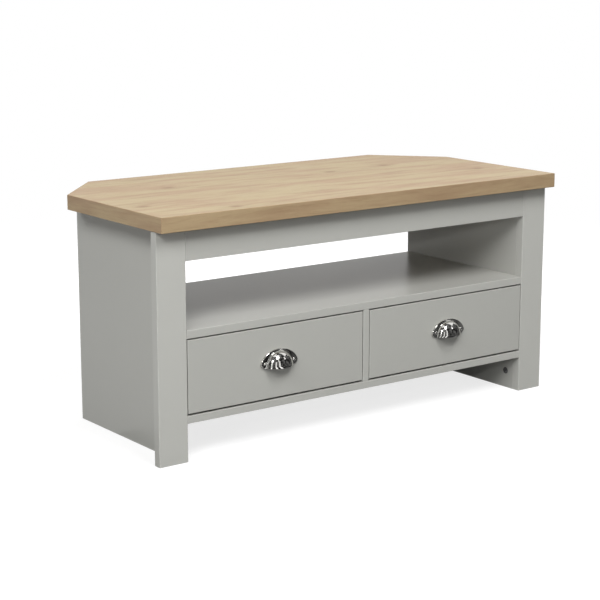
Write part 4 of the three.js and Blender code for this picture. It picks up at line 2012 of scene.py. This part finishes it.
@dataclass
class Runners(SubAssembly):
    """The four runner members of a drawer, their pins, their rollers and their screws."""

    hand: str = "left"
    steel: float = 0.0012
    bend: float = 0.0013
    bend_steps: int = 4
    channel_width: float = 0.0108
    channel_height: float = 0.017
    mouth: float = 0.032
    board_gap: float = 0.0002
    track_width: float = 0.0102
    pin_radius: float = 0.002
    pin_head_radius: float = 0.0032
    pin_head_length: float = 0.001
    pin_round: float = 0.0008
    screws: int = 3
    screw_first: float = 0.05
    cabinet_screw_height: float = 0.0085
    drawer_screw_height: float = 0.0055
    bore_gap: float = 0.0003
    hub_wall: float = 0.0014
    tyre_wall: float = 0.0018
    web_recess: float = 0.001
    web_draft: float = 0.0003
    rim_ease: float = 0.0009

    def build(self) -> None:
        """Build both sides' members, rollers and screws."""
        members = (
            ("cabinet", "carcass", self.cabinet_member),
            ("drawer", f"{self.hand}_drawer", self.drawer_member),
        )
        for name, body, build in members:
            rows = []
            for side in HANDS:
                node = f"{self.hand}_{name}_runner_{side}"
                member, row = build(node, side)
                self.keep(member, COATED_STEEL, node, body=body)
                rows.append(row)
            label = f"{self.hand}_{name}_runner_screws"
            self.keep(fasten(label, RUNNER_SCREW, ZINC, rows), ZINC, body=body)
        for place in ("front", "rear"):
            for side in HANDS:
                node = f"{self.hand}_{place}_roller_{side}"
                self.keep(self.roller(node), NYLON, node, body=node)

    def folded(self, node: str, path: Sequence[Pair]) -> Shape:
        """Fold a strip of steel along a member's whole length.

        Args:
            node: The member's node.
            path: The corners of the strip's middle line, as pairs of x and z.

        Returns:
            The folded strip, as a mesh under construction.
        """
        line = [Vector(path[0])]
        for before, corner, after in zip(path, path[1:], path[2:]):
            corner = Vector(corner)
            start, end = (
                corner + (Vector(spot) - corner).normalized() * self.bend
                for spot in (before, after)
            )
            for step in range(self.bend_steps + 1):
                share = step / self.bend_steps
                line.append(start.lerp(corner, share).lerp(corner.lerp(end, share), share))
        line.append(Vector(path[-1]))
        sides: tuple[list[Vector], list[Vector]] = ([], [])
        for index, spot in enumerate(line):
            before = line[max(index - 1, 0)]
            after = line[min(index + 1, len(line) - 1)]
            along = (after - before).normalized()
            normal = Vector((-along.y, along.x)) * (self.steel / 2)
            sides[0].append(spot + normal)
            sides[1].append(spot - normal)
        low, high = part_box(node)
        outline = [(x, low.y, z) for x, z in sides[0] + sides[1][::-1]]
        return prism(outline, (0, high.y - low.y, 0))

    def pin(self, mesh: Shape, roller: str, root: float, tip: float) -> None:
        """Add the riveted pin that a roller turns on.

        Args:
            mesh: The member's mesh.
            roller: The roller's node.
            root: Where the pin starts, along X.
            tip: Where its head ends, along X.
        """
        low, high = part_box(roller)
        start = (root, (low.y + high.y) / 2, (low.z + high.z) / 2)
        length = abs(tip - root)
        head = length - self.pin_head_length
        centre = (self.pin_head_radius - self.pin_round, length - self.pin_round)
        profile = [
            (0.0, 0.0),
            (self.pin_radius, 0.0),
            (self.pin_radius, head),
            (self.pin_head_radius, head),
            *arc(centre, self.pin_round, 0, 90, RIM_STEPS),
            (0.0, length),
        ]
        turned(mesh, profile, start, (math.copysign(1, tip - root), 0, 0), PIN_SEGMENTS)

    def cabinet_member(self, node: str, side: str) -> tuple[Object, Row]:
        """Build a cabinet member: a channel whose roof is cut away above its roller.

        Args:
            node: The member's node.
            side: The side of the drawer that it is on.

        Returns:
            The member's object and its row of screws.
        """
        low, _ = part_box(node)
        out = HANDS[side]
        wall, tip = side_of(node, out), side_of(node, -out)
        half = self.steel / 2
        line = wall - out * half
        flange = wall - out * self.channel_width
        floor, top = low.z + half, low.z + self.channel_height
        roof = top - half
        path = [(flange, floor), (line, floor), (line, roof), (flange, roof)]
        obj = new_object(self.folded(node, path), f"{node}_member")
        past = self.steel * 2
        cut_from = wall - out * (self.steel + self.bend / 2)
        mouth = (tip - out * past, low.y + self.mouth, top + past)
        cut_box(obj, (cut_from, low.y - past, top - past), mouth)
        mesh = bmesh.new()
        mesh.from_mesh(obj.data)
        discard(obj)
        self.pin(mesh, f"{self.hand}_front_roller_{side}", line, tip)
        row = self.screw_row(node, wall - out * self.steel, -out, self.cabinet_screw_height)
        return closed_object(mesh, f"{node}_member"), row

    def drawer_member(self, node: str, side: str) -> tuple[Object, Row]:
        """Build a drawer member: a ledge, a web and the track that runs on the front roller.

        Args:
            node: The member's node.
            side: The side of the drawer that it is on.

        Returns:
            The member's object and its row of screws.
        """
        low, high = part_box(node)
        out = HANDS[side]
        half = self.steel / 2
        back = side_of(f"{self.hand}_drawer_side_{side}", out) + out * self.board_gap
        web = back + out * half
        ledge, top = low.z + half, high.z - half
        path = [(side_of(node, -out), ledge), (web, ledge), (web, top)]
        mesh = self.folded(node, [*path, (back + out * self.track_width, top)])
        self.pin(mesh, f"{self.hand}_rear_roller_{side}", web, side_of(node, out))
        row = self.screw_row(node, back + out * self.steel, out, self.drawer_screw_height)
        return closed_object(mesh, f"{node}_member"), row

    def screw_row(self, node: str, face: float, facing: float, height: float) -> Row:
        """Return the row of screws that holds a member.

        Args:
            node: The member's node.
            face: Where the heads sit, along X.
            facing: The sign of the way in which they face.
            height: Their height above the member's lower edge.

        Returns:
            The row.
        """
        low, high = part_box(node)
        step = (high.y - low.y - 2 * self.screw_first) / (self.screws - 1)
        start = (face, low.y + self.screw_first, low.z + height)
        return Row(start, (0, step, 0), self.screws, (facing, 0, 0), seed=3)

    def roller(self, node: str) -> Object:
        """Build a nylon roller with rounded rims and a recessed web.

        Args:
            node: The roller's node.

        Returns:
            The roller's object.
        """
        low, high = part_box(node)
        width = high.x - low.x
        bore = self.pin_radius + self.bore_gap
        hub = bore + self.hub_wall
        radius = (high.z - low.z) / 2
        tyre = radius - self.tyre_wall
        near = [
            (bore, 0.0),
            (hub, 0.0),
            (hub + self.web_draft, self.web_recess),
            (tyre, self.web_recess),
            (tyre + self.web_draft, 0.0),
            *arc((radius - self.rim_ease, self.rim_ease), self.rim_ease, -90, 0, RIM_STEPS),
        ]
        far = [(spot, width - height) for spot, height in reversed(near)]
        mesh = bmesh.new()
        start = (low.x, (low.y + high.y) / 2, (low.z + high.z) / 2)
        turned(mesh, [*near, *far], start, (1, 0, 0), ring=True)
        return closed_object(mesh, f"{node}_wheel")


@dataclass(frozen=True)
class Lamp:
    """A soft area lamp: its place, what it points at, its width, height and power."""

    name: str
    place: Point
    target: Point
    size: Pair
    power: float

    def build(self) -> None:
        """Hang the lamp."""
        data = bpy.data.lights.new(self.name, "AREA")
        data.shape = "RECTANGLE"
        data.size, data.size_y = self.size
        data.energy = self.power
        lamp = linked(self.name, data)
        lamp.location = self.place
        aim = Vector(self.target) - Vector(self.place)
        lamp.rotation_euler = aim.to_track_quat("-Z", "Y").to_euler()
        lamp.visible_camera = False


@dataclass
class Studio:
    """The camera, the lamps, the world, the floor and the dark cards."""

    lens: float = 99.254
    sensor: float = 36.0
    eye: Point = (-2.06106, -2.77313, 0.97018)
    heading: float = -0.637914
    pitch: float = 0.212927
    floor_radius: float = 3.4
    floor_corners: int = 96
    floor_fade: Pair = (1.5, 2.6)
    floor_tone: float = 0.3
    floor_glow: float = 0.76
    glow_reach: Pair = (0.75, 1.3)
    ambient: float = 0.03
    # Rows of cards seen only in reflections, as near edge, far edge (radius and height) and the
    # bearings they fill: painted reflections; the first, flat row paints shade on the floor under
    # the cabinet for the gloss.
    card_rows: tuple[tuple[Pair, Pair, tuple[Pair, ...]], ...] = (
        ((0.02, 0.003), (0.5, 0.003), ((-92, 92),)),
        ((0.5, 0.003), (2.7, 0.003), ((-88, -57), (-49, -27), (-19, -6), (2, 92))),
        ((2.7, 0.003), (2.7, 1.2), ((-88, -57), (-49, -27), (-19, -6), (2, 92))),
        ((2.7, 1.2), (2.7, 2.0), ((-88, -57), (-49, -10), (-4, 34), (42, 80))),
        ((2.7, 2.0), (1.6, 2.5), ((-100, -25), (-2, 46))),
        ((1.6, 2.5), (0.3, 2.9), ((-25, 46),)),
    )
    card_steps: int = 6
    # The cards' faint cloudy glow paints the uneven tone of their reflections.
    card_cloud: float = 1.6
    cloud_edge: Pair = (0.4, 0.65)
    card_tones: Pair = (0.01, 0.14)
    card_hidden: tuple[str, ...] = (
        "camera",
        "diffuse",
        "transmission",
        "volume_scatter",
        "shadow",
    )
    lamps: tuple[Lamp, ...] = (
        Lamp("key", (-0.1, -2.5, 3.3), (0, 0, 0.3), (1.7, 1.7), 114.0),
        Lamp("low_front", (1.6, -3.2, 1.25), (0, 0, 0.3), (1.6, 1.2), 12.0),
        Lamp("left_front", (-3.6, -3.4, 3.3), (-0.2, 0, 0.25), (1.7, 1.7), 154.0),
        Lamp("low_left", (-3.07, -1.78, 0.87), (0, 0, 0.35), (0.3, 0.07), 15.0),
        Lamp("side", (-3.2, -1.0, 2.6), (-0.2, 0, 0.25), (1.1, 1.1), 44.0),
        Lamp("over", (0.8, 0.8, 3.5), (0, 0, 0.45), (1.6, 1.6), 25.0),
        Lamp("right_fill", (4.3, 0.9, 1.1), (0.2, 0, 0.25), (3.0, 1.6), 120.0),
        Lamp("rear_fill", (0.2, 4.3, 0.5), (0, 0.1, 0.25), (2.4, 0.9), 74.0),
    )

    def build(self) -> None:
        """Set up everything that isn't part of the cabinet."""
        self.aim_camera()
        for lamp in self.lamps:
            lamp.build()
        self.light_world()
        self.lay_floor()
        self.stand_dark_cards()
        bpy.context.scene.view_settings.view_transform = "Standard"

    def aim_camera(self) -> None:
        """Stand the camera where the photograph was taken from."""
        data = bpy.data.cameras.new("camera")
        data.lens = self.lens
        data.sensor_width = self.sensor
        camera = linked("camera", data)
        camera.location = self.eye
        camera.rotation_euler = (math.pi / 2 - self.pitch, 0, self.heading)
        bpy.context.scene.camera = camera

    def light_world(self) -> None:
        """Make the world white to look at, and a low even light on the object."""
        world = bpy.data.worlds.new("studio")
        bpy.context.scene.world = world
        wiring = Wiring.anew(world)
        shades = [
            wiring.add("ShaderNodeBackground", {"Color": (1, 1, 1, 1), "Strength": strength})
            for strength in (self.ambient, 1.0)
        ]
        inputs = {0: self.seen_directly(wiring), 1: shades[0].outputs[0], 2: shades[1].outputs[0]}
        mixed = wiring.add("ShaderNodeMixShader", inputs)
        wiring.add("ShaderNodeOutputWorld", {"Surface": mixed.outputs[0]})

    @staticmethod
    def seen_directly(wiring: Wiring) -> Socket:
        """Return a mask of the rays that see a backdrop rather than light by it.

        Args:
            wiring: The wiring of the world or the floor.

        Returns:
            The mask's socket.
        """
        path = wiring.add("ShaderNodeLightPath").outputs
        seen = wiring.math("MAXIMUM", path["Is Camera Ray"], path["Is Glossy Ray"])
        return wiring.math("MAXIMUM", seen, path["Is Transmission Ray"])

    @staticmethod
    def bare(mesh: Shape, name: str) -> tuple[Object, Wiring]:
        """Make a piece of the studio with an empty material.

        Args:
            mesh: Its mesh under construction, which is used up.
            name: The name of the piece and its material.

        Returns:
            The piece's object and its material's wiring.
        """
        obj = mesh_object(mesh, name)
        material = bpy.data.materials.new(name)
        obj.data.materials.append(material)
        return obj, Wiring.anew(material)

    def lay_floor(self) -> None:
        """Lay a round white floor that keeps the shadow and fades into the world."""
        mesh = bmesh.new()
        sizes = {"segments": self.floor_corners, "radius": self.floor_radius}
        bmesh.ops.create_circle(mesh, cap_ends=True, **sizes)
        floor, wiring = self.bare(mesh, "floor")
        distance = wiring.vector("LENGTH", wiring.own_place())
        matt = wiring.add("ShaderNodeBsdfDiffuse", {"Color": (*(self.floor_tone,) * 3, 1)})
        level = wiring.ramp(distance, *self.glow_reach, self.floor_glow, 1.0)
        glow = wiring.math("MULTIPLY", self.seen_directly(wiring), level)
        lift = wiring.add("ShaderNodeEmission", {"Strength": glow})
        lit = wiring.add("ShaderNodeAddShader", {0: matt.outputs[0], 1: lift.outputs[0]})
        clear = wiring.add("ShaderNodeBsdfTransparent")
        fade = wiring.ramp(distance, *self.floor_fade)
        inputs = {0: fade, 1: lit.outputs[0], 2: clear.outputs[0]}
        shader = wiring.add("ShaderNodeMixShader", inputs)
        wiring.add("ShaderNodeOutputMaterial", {"Surface": shader.outputs[0]})

    def stand_dark_cards(self) -> None:
        """Stand dark cards in front, which only the gloss of metal and paint picks up: painted
        reflections, with the first row flat on the floor under and before the cabinet as painted
        shade in what the gloss sees there.
        """
        mesh = bmesh.new()
        for near, far, sectors in self.card_rows:
            for first, last in sectors:
                strips = []
                for step in range(self.card_steps + 1):
                    turn = math.radians(first + (last - first) * step / self.card_steps)
                    side, ahead = math.sin(turn), -math.cos(turn)
                    places = [(r * side, r * ahead, z) for r, z in (near, far)]
                    strips.append([mesh.verts.new(place) for place in places])
                for (a, b), (c, d) in pairwise(strips):
                    mesh.faces.new([a, b, d, c])
        cards, wiring = self.bare(mesh, "dark_cards")
        for ray in self.card_hidden:
            setattr(cards, f"visible_{ray}", False)
        cloud = wiring.noise(wiring.own_place(), self.card_cloud, detail=1.0)
        tone = wiring.ramp(cloud, *self.cloud_edge, *self.card_tones)
        shade = wiring.add("ShaderNodeEmission", {"Strength": tone})
        wiring.add("ShaderNodeOutputMaterial", {"Surface": shade.outputs[0]})


def main() -> None:
    """Build the studio and each sub-assembly."""
    logging.basicConfig(level=logging.INFO, format="%(message)s")
    Studio().build()
    parts: list[SubAssembly] = [OakTop(), Carcass(), CamFittings(), RailDowels()]
    for hand in HANDS:
        body = f"{hand}_drawer"
        parts += [kind(body, hand=hand) for kind in (DrawerBox, CupHandle, Runners)]
    for part in parts:
        part.build()
        part.dress()


if __name__ == "__main__":
    main()
